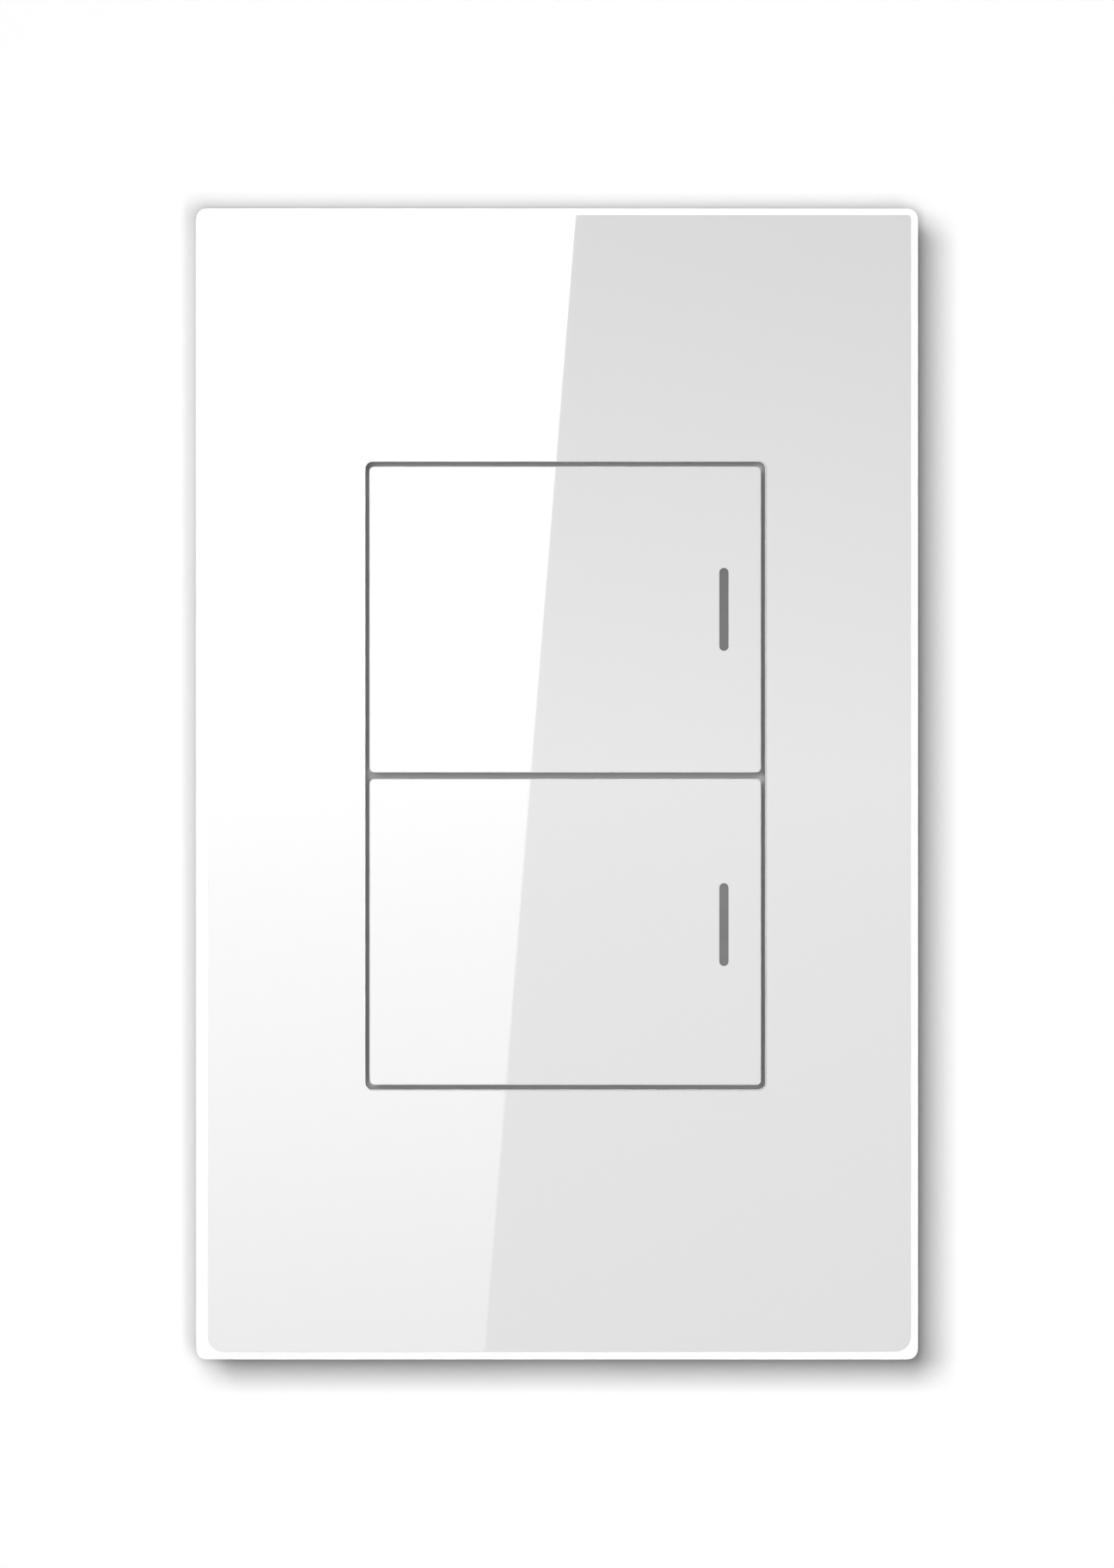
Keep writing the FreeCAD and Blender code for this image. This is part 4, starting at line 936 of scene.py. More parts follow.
def raise_faces(made: bmesh.types.BMesh, faces: Sequence[bmesh.types.BMFace], rise: Vector) -> None:
    """Extrude some faces.

    Args:
        made: the shape.
        faces: the faces, which stay where they are.
        rise: how far their copies go.
    """
    grown = bmesh.ops.extrude_face_region(made, geom=list(faces))
    verts = [item for item in grown["geom"] if isinstance(item, bmesh.types.BMVert)]
    bmesh.ops.translate(made, verts=verts, vec=rise)


class Unit(ABC):
    """A unit of the switch."""

    @abstractmethod
    def dress(self) -> None:
        """Give the unit's CAD sub-parts their finishes."""

    def build(self) -> None:
        """Add the pieces that only the looks have, if any."""


@dataclass
class Panel(Unit):
    """The glass panel with its moulded frame, which pulls off the pegs' grommets."""

    bevel: float = 0.6 * MM
    # the opening's grey line is painted shade round its rim
    opening: Opening = Opening(
        centre=Vector((0.93 * MM, 0.0, 0.835 * MM)),
        width=40.94 * MM,
        height=64.33 * MM,
        radius=0.7 * MM,
        line=0.13 * MM,
        colour=(0.5, 0.5, 0.5),
    )

    def dress(self) -> None:
        """Give the glass, the tape and the frame their finishes."""
        glass = Glaze(
            face=WHITE,
            # the ground rim is white partly as frosted glass and partly as a painted glow of light carried through
            # the glass
            edge=(1.0, 1.0, 1.0),
            shaft=(0.66, 0.67, 0.67),
            face_y=FACE_Y,
            edge_depth=self.bevel,
            opening=self.opening,
        )
        dress(["glass_panel"], glass.material("white_glass"))
        dress(["bonding_tape"], Foam((0.75, 0.75, 0.74)).material("foam_tape"))
        dress(["panel_frame"], Moulding((0.7, 0.7, 0.69), 0.42, Grain.SATIN).material("frame_plastic"))


@dataclass
class ReturnSpring:
    """Compression spring between the carrier and a key, with closed ends."""

    which: str
    wire: float = 0.4 * MM
    across: float = 3.8 * MM
    end_turn: float = 0.6
    end_pitch: float = 0.44 * MM
    turns: float = 3.5
    steps: int = 28
    sides: int = 12
    travel: float = 0.43 * MM

    def build(self, material: bpy.types.Material) -> None:
        """Wind the wire in one piece: closed end, open middle and closed end.

        Args:
            material: the wire's finish.
        """
        low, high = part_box("return_spring_" + self.which)
        axis = Vector(((low.x + high.x) / 2, 0.0, (low.z + high.z) / 2))
        front = low.y + self.wire / 2
        back = high.y - self.wire / 2
        rise = back - front - 2 * self.end_turn * self.end_pitch
        made = bmesh.new()
        start = Vector((axis.x + self.across / 2, front, axis.z))
        ring = bmesh.ops.create_circle(made, cap_ends=True, segments=self.sides, radius=self.wire / 2)
        bmesh.ops.transform(made, matrix=Matrix.Translation(start), verts=ring["verts"])
        geometry = made.faces[:] + made.edges[:] + made.verts[:]
        closed = (self.end_turn, self.end_turn * self.end_pitch)
        for turn, climb in (closed, (self.turns - 2 * self.end_turn, rise), closed):
            steps = max(2, round(turn * self.steps))
            spun = bmesh.ops.spin(
                made,
                geom=geometry,
                cent=axis,
                axis=(0.0, -1.0, 0.0),
                dvec=(0.0, climb / steps, 0.0),
                angle=turn * 2 * math.pi,
                steps=steps,
                use_merge=False,
            )
            geometry = spun["geom_last"]
            axis = axis + Vector((0.0, climb, 0.0))
        spring = piece("return_coil_" + self.which, made, Body.MODULE, [material])
        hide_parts("return_spring_" + self.which)
        room = high.y - low.y
        anchor = (axis.x, high.y, axis.z)
        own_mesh(spring)


@dataclass
class KeyPair(Unit):
    """The two keys with their light bars, pins and springs."""

    edge: float = 0.1 * MM

    def dress(self) -> None:
        """Give the keys, light bars and pins their finishes."""
        gloss = Glaze(
            face=WHITE,
            # painted shade: the keys' chamfers are dark grey, which widens the dark line of the grooves
            edge=(0.47, 0.47, 0.47),
            shaft=(0.66, 0.66, 0.66),
            face_y=FACE_Y,
            edge_depth=self.edge,
        )
        dress(["key_upper", "key_lower"], gloss.material("key_gloss_white"))
        dress(["light_bar_upper", "light_bar_lower"], Pipe().material("smoke_light_pipe"))
        pin = Plating(Metal.STEEL, 0.24, Working.TUMBLED)
        dress(["hinge_pin_upper", "hinge_pin_lower"], pin.material("ground_pin_steel"))

    def build(self) -> None:
        """Wind both return springs."""
        wire = Plating(Metal.STEEL, 0.3, Working.TUMBLED, 0.08 * MM).material("spring_wire")
        for which in ("upper", "lower"):
            ReturnSpring(which).build(wire)


@dataclass
class Mounting(Unit):
    """Yoke, grommets, key carrier and the screws between them."""

    def dress(self) -> None:
        """Give the mounting parts their finishes."""
        dress(["yoke"], Spangle().material("yoke_zinc"))
        dress(["peg_grommets"], Moulding((0.78, 0.76, 0.68), 0.4, Grain.POLISHED).material("natural_nylon"))
        dress(["key_carrier"], Moulding((0.39, 0.39, 0.39), 0.5, Grain.SATIN).material("carrier_grey"))
        screws = Plating(Metal.ZINC, 0.3, Working.TUMBLED)
        dress(["carrier_screws", "housing_screws", "board_screws"], screws.material("zinc_screws"))


@dataclass
class Housing(Unit):
    """Front and rear shell of the module, with a blank rating plate."""

    plate_width: float = 29.4 * MM
    plate_height: float = 21.4 * MM
    plate_thick: float = 0.14 * MM
    plate_corner: float = 0.8 * MM
    recess: float = 0.3 * MM
    plate_z: float = 5.45 * MM

    def dress(self) -> None:
        """Give both shells their finish."""
        shell = Moulding((0.74, 0.74, 0.72), 0.48, Grain.SPARK)
        dress(["front_housing", "rear_housing"], shell.material("housing_pale_grey"))

    def build(self) -> None:
        """Lay the rating plate in its recess."""
        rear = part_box("rear_housing")[1].y
        foot = Vector((0.0, rear - self.recess, self.plate_z))
        size = (self.plate_width, self.plate_thick, self.plate_height)
        made = block(size, foot + Vector((0.0, self.plate_thick / 2, 0.0)))
        round_edges(made, edges_along_y(made, self.plate_thick / 2), self.plate_corner, segments=6)
        foil = PrintedPlate(foot, self.plate_width, self.plate_height, self.plate_corner)
        piece("rating_plate_blank", made, Body.MODULE, [foil.material("plate_foil")])


@dataclass(frozen=True)
class Chip:
    """Leadless part with a tinned cap on each end."""

    length: float
    width: float
    height: float
    cap: float = 0.3 * MM

    def shape(self) -> bmesh.types.BMesh:
        """Make a block along X that stands on Y = 0.

        Returns:
            The shape, with its body in the first finish and its caps in the second.
        """
        made = block((self.length, self.height, self.width), Vector((0.0, self.height / 2, 0.0)))
        seam = self.length / 2 - self.cap
        for side in (-1, 1):
            geometry = made.verts[:] + made.edges[:] + made.faces[:]
            bmesh.ops.bisect_plane(made, geom=geometry, plane_co=(side * seam, 0.0, 0.0), plane_no=(1.0, 0.0, 0.0))
        for face in made.faces:
            face.material_index = int(abs(face.calc_center_median().x) > seam)
        return made


@dataclass(frozen=True)
class Joint:
    """Soldered pin: a fillet that rises to the cut end of the pin."""

    foot: float = 0.85 * MM
    pin: float = 0.36 * MM
    rise: float = 0.35 * MM
    sides: int = 14

    def shape(self) -> bmesh.types.BMesh:
        """Turn the fillet round Y.

        Returns:
            The shape, with its foot at Y = 0 and its pin towards -Y.
        """
        made = bmesh.new()
        profile = (
            (0.0, 0.0),
            (self.foot, 0.0),
            (self.foot * 0.66, -self.rise * 0.3),
            (self.pin, -self.rise * 0.8),
            (self.pin * 0.8, -self.rise),
            (0.0, -self.rise),
        )
        points = [made.verts.new((reach, along, 0.0)) for reach, along in profile]
        for pair in zip(points, points[1:]):
            made.edges.new(pair)
        bmesh.ops.spin(
            made,
            geom=made.verts[:] + made.edges[:],
            cent=(0.0, 0.0, 0.0),
            axis=(0.0, 1.0, 0.0),
            angle=2 * math.pi,
            steps=self.sides,
            use_merge=True,
        )
        return made


@dataclass
class LogicBoard(Unit):
    """Front board with its push switches, lamps, controller and radio.

    The small chips are listed by their places across and up in millimetres, and their turn in degrees.
    """

    resistor: Chip = Chip(1.6 * MM, 0.8 * MM, 0.45 * MM)
    capacitor: Chip = Chip(1.6 * MM, 0.8 * MM, 0.8 * MM)
    resistors: tuple[Triple, ...] = (
        (-18.2, -9.2, 90), (-18.2, -6.6, 90), (-18.2, -4.0, 90), (-5.8, -8.8, 0), (-5.8, -7.2, 0), (-5.8, -5.6, 0),
        (14.6, 12.0, 90), (16.4, 12.0, 90), (14.6, 15.0, 90), (16.4, 15.0, 90), (2.6, -12.6, 0), (2.6, -14.4, 0),
        (2.6, -16.2, 0), (-14.5, 14.0, 0), (-14.5, 15.8, 0), (-14.5, 17.6, 0),
    )
    capacitors: tuple[Triple, ...] = (
        (-9.3, -0.6, 0), (-15.2, -11.8, 0), (-11.8, -11.8, 0), (-7.2, 12.0, 90), (-7.2, 15.2, 90), (13.4, 24.0, 90),
        (15.4, 24.0, 90), (6.5, 3.6, 0), (6.5, 1.8, 0), (-17.4, 22.4, 90),
    )
    crystal: Vector = Vector((-13.0 * MM, 0.0, 3.4 * MM))
    crystal_size: Triple = (3.2 * MM, 0.7 * MM, 2.5 * MM)
    crystal_corner: float = 0.6 * MM
    crystal_rim: float = 0.15 * MM
    antenna_bars: int = 11
    antenna_line: float = 0.6 * MM
    antenna_rows: int = 8
    antenna_rise: float = 0.04 * MM
    header_pins: tuple[int, int] = (5, 2)
    header_pitch: float = 2.0 * MM
    header_joint: Joint = Joint(foot=0.6 * MM, pin=0.3 * MM)

    def dress(self) -> None:
        """Give the board and what stands on it their finishes."""
        printed = ("control_chip", "radio_module", "board_header")
        board = Laminate((0.012, 0.11, 0.045), (0.03, 0.19, 0.075), printed)
        dress(["logic_board"], board.material("logic_resist"))
        radio = Laminate((0.01, 0.045, 0.15), (0.03, 0.09, 0.24), ("radio_shield",), pitch=1.27 * MM)
        dress(["radio_module"], radio.material("radio_resist"))
        dress(["radio_shield"], Plating(Metal.TIN, 0.28, Working.STAMPED).material("tinned_shield"))
        dress(["control_chip"], Moulding((0.028, 0.028, 0.03), 0.55, Grain.SPARK).material("chip_epoxy"))
        dress(["board_header"], Moulding((0.03, 0.03, 0.032), 0.45, Grain.SATIN).material("header_black"))
        dress(["tact_body_upper", "tact_body_lower"], Moulding((0.045, 0.045, 0.05), 0.5).material("switch_body"))
        plunger = Moulding((0.1, 0.1, 0.11), 0.4)
        dress(["tact_plunger_upper", "tact_plunger_lower"], plunger.material("switch_plunger"))
        dress(["led_upper", "led_lower"], Moulding((0.86, 0.85, 0.72), 0.2, Grain.POLISHED).material("lamp_lens"))

    def build(self) -> None:
        """Place the chips, the crystal, the antenna and the header's joints."""
        tin = Plating(Metal.TIN, 0.3, Working.TUMBLED).material("soldered_tin")
        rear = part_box("logic_board")[1].y
        film = Moulding((0.03, 0.03, 0.032), 0.35).material("resistor_film")
        self.chips("chip_resistors", self.resistor, self.resistors, rear, [film, tin])
        ceramic = Moulding((0.36, 0.25, 0.15), 0.45).material("capacitor_ceramic")
        self.chips("chip_capacitors", self.capacitor, self.capacitors, rear, [ceramic, tin])
        self.can(rear)
        self.antenna()
        self.joints(tin)

    def chips(
        self, name: str, chip: Chip, places: Sequence[Triple], rear: float, materials: Sequence[bpy.types.Material]
    ) -> None:
        """Solder equal chips to the rear of the board.

        Args:
            name: the group's name.
            chip: the part.
            places: its places and turns.
            rear: the board's rear face.
            materials: finishes of its body and its caps.
        """
        matrices = (
            Matrix.Translation((x * MM, rear, z * MM)) @ Matrix.Rotation(math.radians(turn), 4, "Y")
            for x, z, turn in places
        )
        piece(name, copies(chip.shape(), matrices), Body.MODULE, materials)

    def can(self, rear: float) -> None:
        """Make the crystal's drawn can with rounded corners.

        Args:
            rear: the board's rear face.
        """
        half = self.crystal_size[1] / 2
        centre = self.crystal + Vector((0.0, rear + half, 0.0))
        made = block(self.crystal_size, centre)
        round_edges(made, edges_along_y(made, half), self.crystal_corner, segments=5)
        lid = [edge for edge in made.edges if all(vert.co.y > centre.y for vert in edge.verts)]
        round_edges(made, lid, self.crystal_rim, segments=3)
        drawn = Plating(Metal.STEEL, 0.25, Working.TUMBLED).material("drawn_can")
        piece("crystal_can", made, Body.MODULE, [drawn])

    def antenna(self) -> None:
        """Lay the antenna on the free end of the radio board: a grid thinned to one winding line.

        Every other column keeps one square, at the top and at the foot in turn.
        """
        shield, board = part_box("radio_shield"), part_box("radio_module")
        columns = 2 * self.antenna_bars - 1
        made = bmesh.new()
        bmesh.ops.create_grid(made, x_segments=columns, y_segments=self.antenna_rows, size=0.5)
        spare = []
        for face in made.faces:
            place = face.calc_center_median()
            column = math.floor((place.x + 0.5) * columns)
            row = math.floor((place.y + 0.5) * self.antenna_rows)
            turn = self.antenna_rows - 1 if column % 4 == 1 else 0
            if column % 2 and row != turn:
                spare.append(face)
        bmesh.ops.delete(made, geom=spare, context="FACES")
        middle = Vector(((board[0].x + board[1].x) / 2, board[1].y, (shield[1].z + board[1].z) / 2))
        size = (columns * self.antenna_line, self.antenna_rows * self.antenna_line, 1.0, 1.0)
        bmesh.ops.transform(made, matrix=along_y(middle) @ Matrix.Diagonal(size), verts=made.verts)
        raise_faces(made, made.faces[:], Vector((0.0, self.antenna_rise, 0.0)))
        gold = Plating(Metal.BRASS, 0.26, Working.TUMBLED).material("antenna_gold")
        piece("antenna_trace", made, Body.MODULE, [gold])

    def joints(self, tin: bpy.types.Material) -> None:
        """Solder the header's pins on the front of the board.

        Args:
            tin: the solder's finish.
        """
        low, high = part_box("board_header")
        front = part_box("logic_board")[0].y
        middle = (low + high) / 2
        across, rows = self.header_pins
        places = []
        for i, j in product(range(across), range(rows)):
            x = middle.x + (i - (across - 1) / 2) * self.header_pitch
            z = middle.z + (j - (rows - 1) / 2) * self.header_pitch
            places.append(Matrix.Translation((x, front, z)))
        joints = copies(self.header_joint.shape(), places)
        piece("header_joints", joints, Body.MODULE, [tin])


@dataclass
class PowerBoard(Unit):
    """Rear board with relays, transformer, capacitors and protection.

    A part's pins are listed by their places as shares of its box, across and up.
    """

    ends: tuple[tuple[float, float], ...] = ((0.12, 0.5), (0.88, 0.5))
    legs: tuple[tuple[float, float], ...] = ((0.28, 0.5), (0.72, 0.5))
    relay_pins: tuple[tuple[float, float], ...] = ((0.14, 0.1), (0.86, 0.1), (0.5, 0.42), (0.14, 0.9), (0.86, 0.9))
    coil_pins: tuple[tuple[float, float], ...] = (
        (0.1, 0.06), (0.5, 0.06), (0.9, 0.06), (0.1, 0.94), (0.5, 0.94), (0.9, 0.94),
    )
    pole_pins: tuple[tuple[float, float], ...] = ((0.145, 0.3), (0.382, 0.3), (0.618, 0.3), (0.855, 0.3))

    def dress(self) -> None:
        """Give the board and what stands on it their finishes."""
        printed = ("relay_upper", "relay_lower", "transformer_core", "film_capacitor", "varistor", "fuse")
        board = Laminate((0.012, 0.11, 0.045), (0.035, 0.2, 0.08), printed, pitch=5.08 * MM)
        dress(["power_board"], board.material("power_resist"))
        relay = Moulding((0.03, 0.09, 0.3), 0.28, Grain.POLISHED)
        dress(["relay_upper", "relay_lower"], relay.material("relay_blue"))
        dress(["transformer_core"], Ferrite().material("ferrite"))
        dress(["transformer_winding"], Wrap((0.82, 0.62, 0.06)).material("winding_tape"))
        dress(["bulk_capacitor"], Sleeve("bulk_capacitor").material("bulk_sleeve"))
        dress(["output_capacitor"], Sleeve("output_capacitor").material("output_sleeve"))
        dress(["varistor"], Moulding((0.03, 0.1, 0.42), 0.3, Grain.POLISHED).material("varistor_coat"))
        dress(["film_capacitor"], Moulding((0.78, 0.58, 0.06), 0.3, Grain.POLISHED).material("film_case"))
        dress(["fuse"], Moulding((0.22, 0.09, 0.04), 0.42, Grain.SATIN).material("fuse_case"))
        epoxy = Moulding((0.03, 0.03, 0.03), 0.55, Grain.SPARK)
        dress(["bridge_rectifier", "supply_chip"], epoxy.material("power_epoxy"))

    def build(self) -> None:
        """Solder every pin on the front of the board."""
        pins = {
            "relay_upper": self.relay_pins,
            "relay_lower": self.relay_pins,
            "transformer_core": self.coil_pins,
            "bulk_capacitor": self.legs,
            "output_capacitor": self.legs,
            "film_capacitor": self.ends,
            "varistor": self.ends,
            "fuse": self.ends,
            "terminal_block": self.pole_pins,
        }
        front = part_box("power_board")[0].y
        places = []
        for node, shares in pins.items():
            low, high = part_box(node)
            for across, up in shares:
                x = low.x + (high.x - low.x) * across
                z = low.z + (high.z - low.z) * up
                places.append(Matrix.Translation((x, front, z)))
        tin = Plating(Metal.TIN, 0.26, Working.TUMBLED).material("wave_solder")
        piece("power_joints", copies(Joint().shape(), places), Body.MODULE, [tin])


@dataclass
class ClampScrew:
    """Slotted clamp screw with a turned head and a rolled thread."""

    number: int
    pitch: float = 0.5 * MM
    major: float = 1.45 * MM
    depth: float = 0.24 * MM
    head_height: float = 1.6 * MM
    slot: float = 0.7 * MM
    rim: float = 0.12 * MM
    steps: int = 32
    turned: float = 0.0

    def build(self, material: bpy.types.Material) -> None:
        """Turn the head, cut its slot and roll the thread.

        Args:
            material: the screw's finish.
        """
        low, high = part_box(f"terminal_screw_{self.number}")
        axis = Vector(((low.x + high.x) / 2, 0.0, (low.z + high.z) / 2))
        head_y = high.y - self.head_height
        made = self.head(axis, head_y, (high.x - low.x) / 2)
        shank = self.thread(axis, low.y, head_y + self.slot / 2)
        mesh = bpy.data.meshes.new("thread")
        shank.to_mesh(mesh)
        shank.free()
        made.from_mesh(mesh)
        bpy.data.meshes.remove(mesh)
        turn = Matrix.Rotation(math.radians(self.turned), 3, "Y")
        bmesh.ops.rotate(made, verts=made.verts, cent=axis, matrix=turn)
        body = Body(f"screw_{self.number}")
        screw = piece(f"clamp_screw_{self.number}", made, body, [material])
        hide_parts(f"terminal_screw_{self.number}")

    def head(self, axis: Vector, head_y: float, radius: float) -> bmesh.types.BMesh:
        """Shape the slotted head: a disc with two half-moons on it, and rounded rims.

        Args:
            axis: a point on the screw's axis, at Y = 0.
            head_y: where the head begins.
            radius: its radius.

        Returns:
            The shape.
        """
        half = Vector((0.0, self.head_height / 2, 0.0))
        made = bmesh.new()
        bmesh.ops.create_circle(made, cap_ends=True, segments=self.steps * 2, radius=radius)
        bmesh.ops.transform(made, matrix=along_y(axis + Vector((0.0, head_y, 0.0))), verts=made.verts)
        raise_faces(made, made.faces[:], half)
        for side in (-1, 1):
            plane = axis + Vector((0.0, 0.0, side * self.slot / 2))
            geometry = made.verts[:] + made.edges[:] + made.faces[:]
            bmesh.ops.bisect_plane(made, geom=geometry, plane_co=plane, plane_no=(0.0, 0.0, 1.0), dist=ON_CUT)
        step_y = head_y + half.y - MERGE
        moons = []
        for face in made.faces:
            middle = face.calc_center_median()
            if middle.y > step_y and abs(middle.z - axis.z) > self.slot / 2:
                moons.append(face)
        raise_faces(made, moons, half)
        bmesh.ops.delete(made, geom=moons, context="FACES")
        top_y = head_y + self.head_height - MERGE
        rim = [edge for edge in made.edges if all(vert.co.y > top_y for vert in edge.verts)]
        round_edges(made, rim, self.rim, segments=2)
        return made

    def thread(self, axis: Vector, front: float, back: float) -> bmesh.types.BMesh:
        """Roll the threaded rod: a zigzag spun once round while it climbs one pitch, then cut to length.

        Args:
            axis: a point on the screw's axis, at Y = 0.
            front: where the rod begins.
            back: where it ends.

        Returns:
            The shape.
        """
        made = bmesh.new()
        turns = math.ceil((back - front) / self.pitch) + 2
        first = front - self.pitch
        last = None
        for i in range(2 * turns + 1):
            reach = self.major - (self.depth if i % 2 else 0.0)
            point = made.verts.new(axis + Vector((reach, first + i * self.pitch / 2, 0.0)))
            if last is not None:
                made.edges.new((last, point))
            last = point
        bmesh.ops.spin(
            made,
            geom=made.verts[:] + made.edges[:],
            cent=axis,
            axis=(0.0, -1.0, 0.0),
            dvec=(0.0, self.pitch / self.steps, 0.0),
            angle=2 * math.pi,
            steps=self.steps,
            use_merge=False,
        )
        bmesh.ops.remove_doubles(made, verts=made.verts, dist=MERGE)
        for y, way in ((front, -1.0), (back, 1.0)):
            geometry = made.verts[:] + made.edges[:] + made.faces[:]
            bmesh.ops.bisect_plane(
                made,
                geom=geometry,
                plane_co=(0.0, y, 0.0),
                plane_no=(0.0, way, 0.0),
                clear_outer=True,
                dist=ON_CUT,
            )
        bmesh.ops.holes_fill(made, edges=[edge for edge in made.edges if edge.is_boundary], sides=0)
        return made


@dataclass
class Terminals(Unit):
    """Terminal block with its bars, clamps, screws and pole numbers.

    The outline of the 1 is given in millimetres, and how far each screw is turned at rest in degrees.
    """

    poles: int = 4
    figure_size: float = 3.0 * MM
    figure_rise: float = 0.08 * MM
    figure_up: float = 3.4 * MM
    one: tuple[tuple[float, float], ...] = (
        (0.27, 0.0),
        (0.27, 2.046),
        (0.03, 2.046),
        (-0.42, 1.68),
        (-0.42, 1.34),
        (-0.03, 1.64),
        (-0.03, 0.0),
    )
    turned: tuple[float, ...] = (14.0, -31.0, 58.0, -9.0)

    def dress(self) -> None:
        """Give the block, bars and cages their finishes."""
        dress(["terminal_block"], Moulding((0.11, 0.12, 0.13), 0.46, Grain.SATIN).material("block_plastic"))
        dress(["bus_bars"], Plating(Metal.BRASS, 0.3, Working.STAMPED).material("contact_brass"))
        cages = [f"clamp_cage_{n}" for n in self.numbers()]
        dress(cages, Plating(Metal.BRASS, 0.34, Working.TUMBLED, 0.3 * MM).material("clamp_brass"))

    def numbers(self) -> range:
        """Numbers of the poles."""
        return range(1, self.poles + 1)

    def build(self) -> None:
        """Make the screws and raise each pole's number over its screw."""
        steel = Plating(Metal.ZINC, 0.28, Working.TUMBLED, 0.2 * MM).material("clamp_screw_zinc")
        ink = Ink((0.72, 0.72, 0.7)).material("raised_figures")
        for number, turned in zip(self.numbers(), self.turned):
            ClampScrew(number, turned=turned).build(steel)
            self.figure(number, ink)

    def figure(self, number: int, material: bpy.types.Material) -> None:
        """Raise one pole's number on the rear of the block.

        Args:
            number: the pole.
            material: the number's finish.
        """
        screw_low, screw_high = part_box(f"terminal_screw_{number}")
        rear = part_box("terminal_block")[1].y
        made = self.drawn_one() if number == 1 else self.typed(number)
        readable = Matrix(((-1, 0, 0, 0), (0, 0, 1, 0), (0, 1, 0, 0), (0, 0, 0, 1)))  # upright, seen from behind
        place = Vector(((screw_low.x + screw_high.x) / 2, rear, screw_high.z + self.figure_up - self.figure_size / 2))
        bmesh.ops.transform(made, matrix=Matrix.Translation(place) @ readable, verts=made.verts)
        piece(f"pole_figure_{number}", made, Body.MODULE, [material])

    def drawn_one(self) -> bmesh.types.BMesh:
        """Draw a 1 with a flag, which is a bar in the plain font.

        Returns:
            The shape, along X and Y.
        """
        made = bmesh.new()
        face = made.faces.new([made.verts.new((x * MM, y * MM, -self.figure_rise)) for x, y in self.one])
        raise_faces(made, [face], Vector((0.0, 0.0, 2 * self.figure_rise)))
        return made

    def typed(self, number: int) -> bmesh.types.BMesh:
        """Set a number in the plain font, as thick as its rise on both sides.

        Args:
            number: the number.

        Returns:
            The shape, along X and Y.
        """
        curve = bpy.data.curves.new(f"figure_{number}", "FONT")
        curve.body = str(number)
        curve.size = self.figure_size
        curve.extrude = self.figure_rise
        curve.align_x = "CENTER"
        text = bpy.data.objects.new(f"figure_{number}", curve)
        bpy.context.scene.collection.objects.link(text)
        mesh = bpy.data.meshes.new_from_object(text.evaluated_get(bpy.context.evaluated_depsgraph_get()))
        bpy.data.objects.remove(text)
        made = bmesh.new()
        made.from_mesh(mesh)
        bpy.data.meshes.remove(mesh)
        return made


@dataclass(frozen=True)
class Card:
    """A flat source of light that the camera doesn't see.

    Its levels are pairs of a height over its middle, in metres, and the radiance there. Its lean is a shift
    across per height.
    """

    name: str
    centre: Triple
    size: tuple[float, float]
    faces: Triple
    levels: tuple[tuple[float, float], ...]
    lean: float = 0.0

    def build(self) -> None:
        """Put the card in its place."""
        made = bmesh.new()
        bmesh.ops.create_grid(made, x_segments=1, y_segments=1, size=0.5)
        shape = Matrix.Diagonal((self.size[0], self.size[1], 1.0, 1.0))
        leaning = Matrix.Identity(4)
        leaning[0][1] = self.lean
        bmesh.ops.transform(made, matrix=leaning @ shape, verts=made.verts)
        card = stage_piece(self.name, made, self.material())
        turn = Vector(self.faces).to_track_quat("Z", "Y").to_matrix().to_4x4()
        card.matrix_world = Matrix.Translation(self.centre) @ turn
        card.visible_camera = False

    def material(self) -> bpy.types.Material:
        """Build the light: its strength follows the card's levels, and its back gives none.

        Returns:
            The material.
        """
        recipe = finish(self.name)
        peak = max(level for _, level in self.levels)
        stops = [(height / self.size[1] + 0.5, level / peak) for height, level in self.levels]
        place = recipe.y * (1.0 / self.size[1]) + 0.5
        level = recipe.signal(0, "ShaderNodeValToRGB", {"stops": stops}, {0: place})
        front = 1.0 - recipe.signal("Backfacing", "ShaderNodeNewGeometry")
        return recipe.show(recipe.node("ShaderNodeEmission", sockets={"Strength": level * front * peak}).outputs[0])


@dataclass(frozen=True)
class Seam:
    """Painted contact shadow: a soft grey line on a wall along a plate's outline, a little to one side as the cast
    shadow is.
    """

    width: float
    height: float
    radius: float
    depth: float = 0.35
    reach: float = 0.65 * MM
    shift: float = 0.1 * MM

    def level(self, recipe: Recipe) -> Signal:
        """1 away from the outline, and less on it by the depth of the painted shadow."""
        away = abs(recipe.border(Vector((self.shift, 0.0, 0.0)), self.width, self.height, self.radius))
        return 1.0 - recipe.maths("EXPONENT", away * (-1.0 / self.reach)) * self.depth


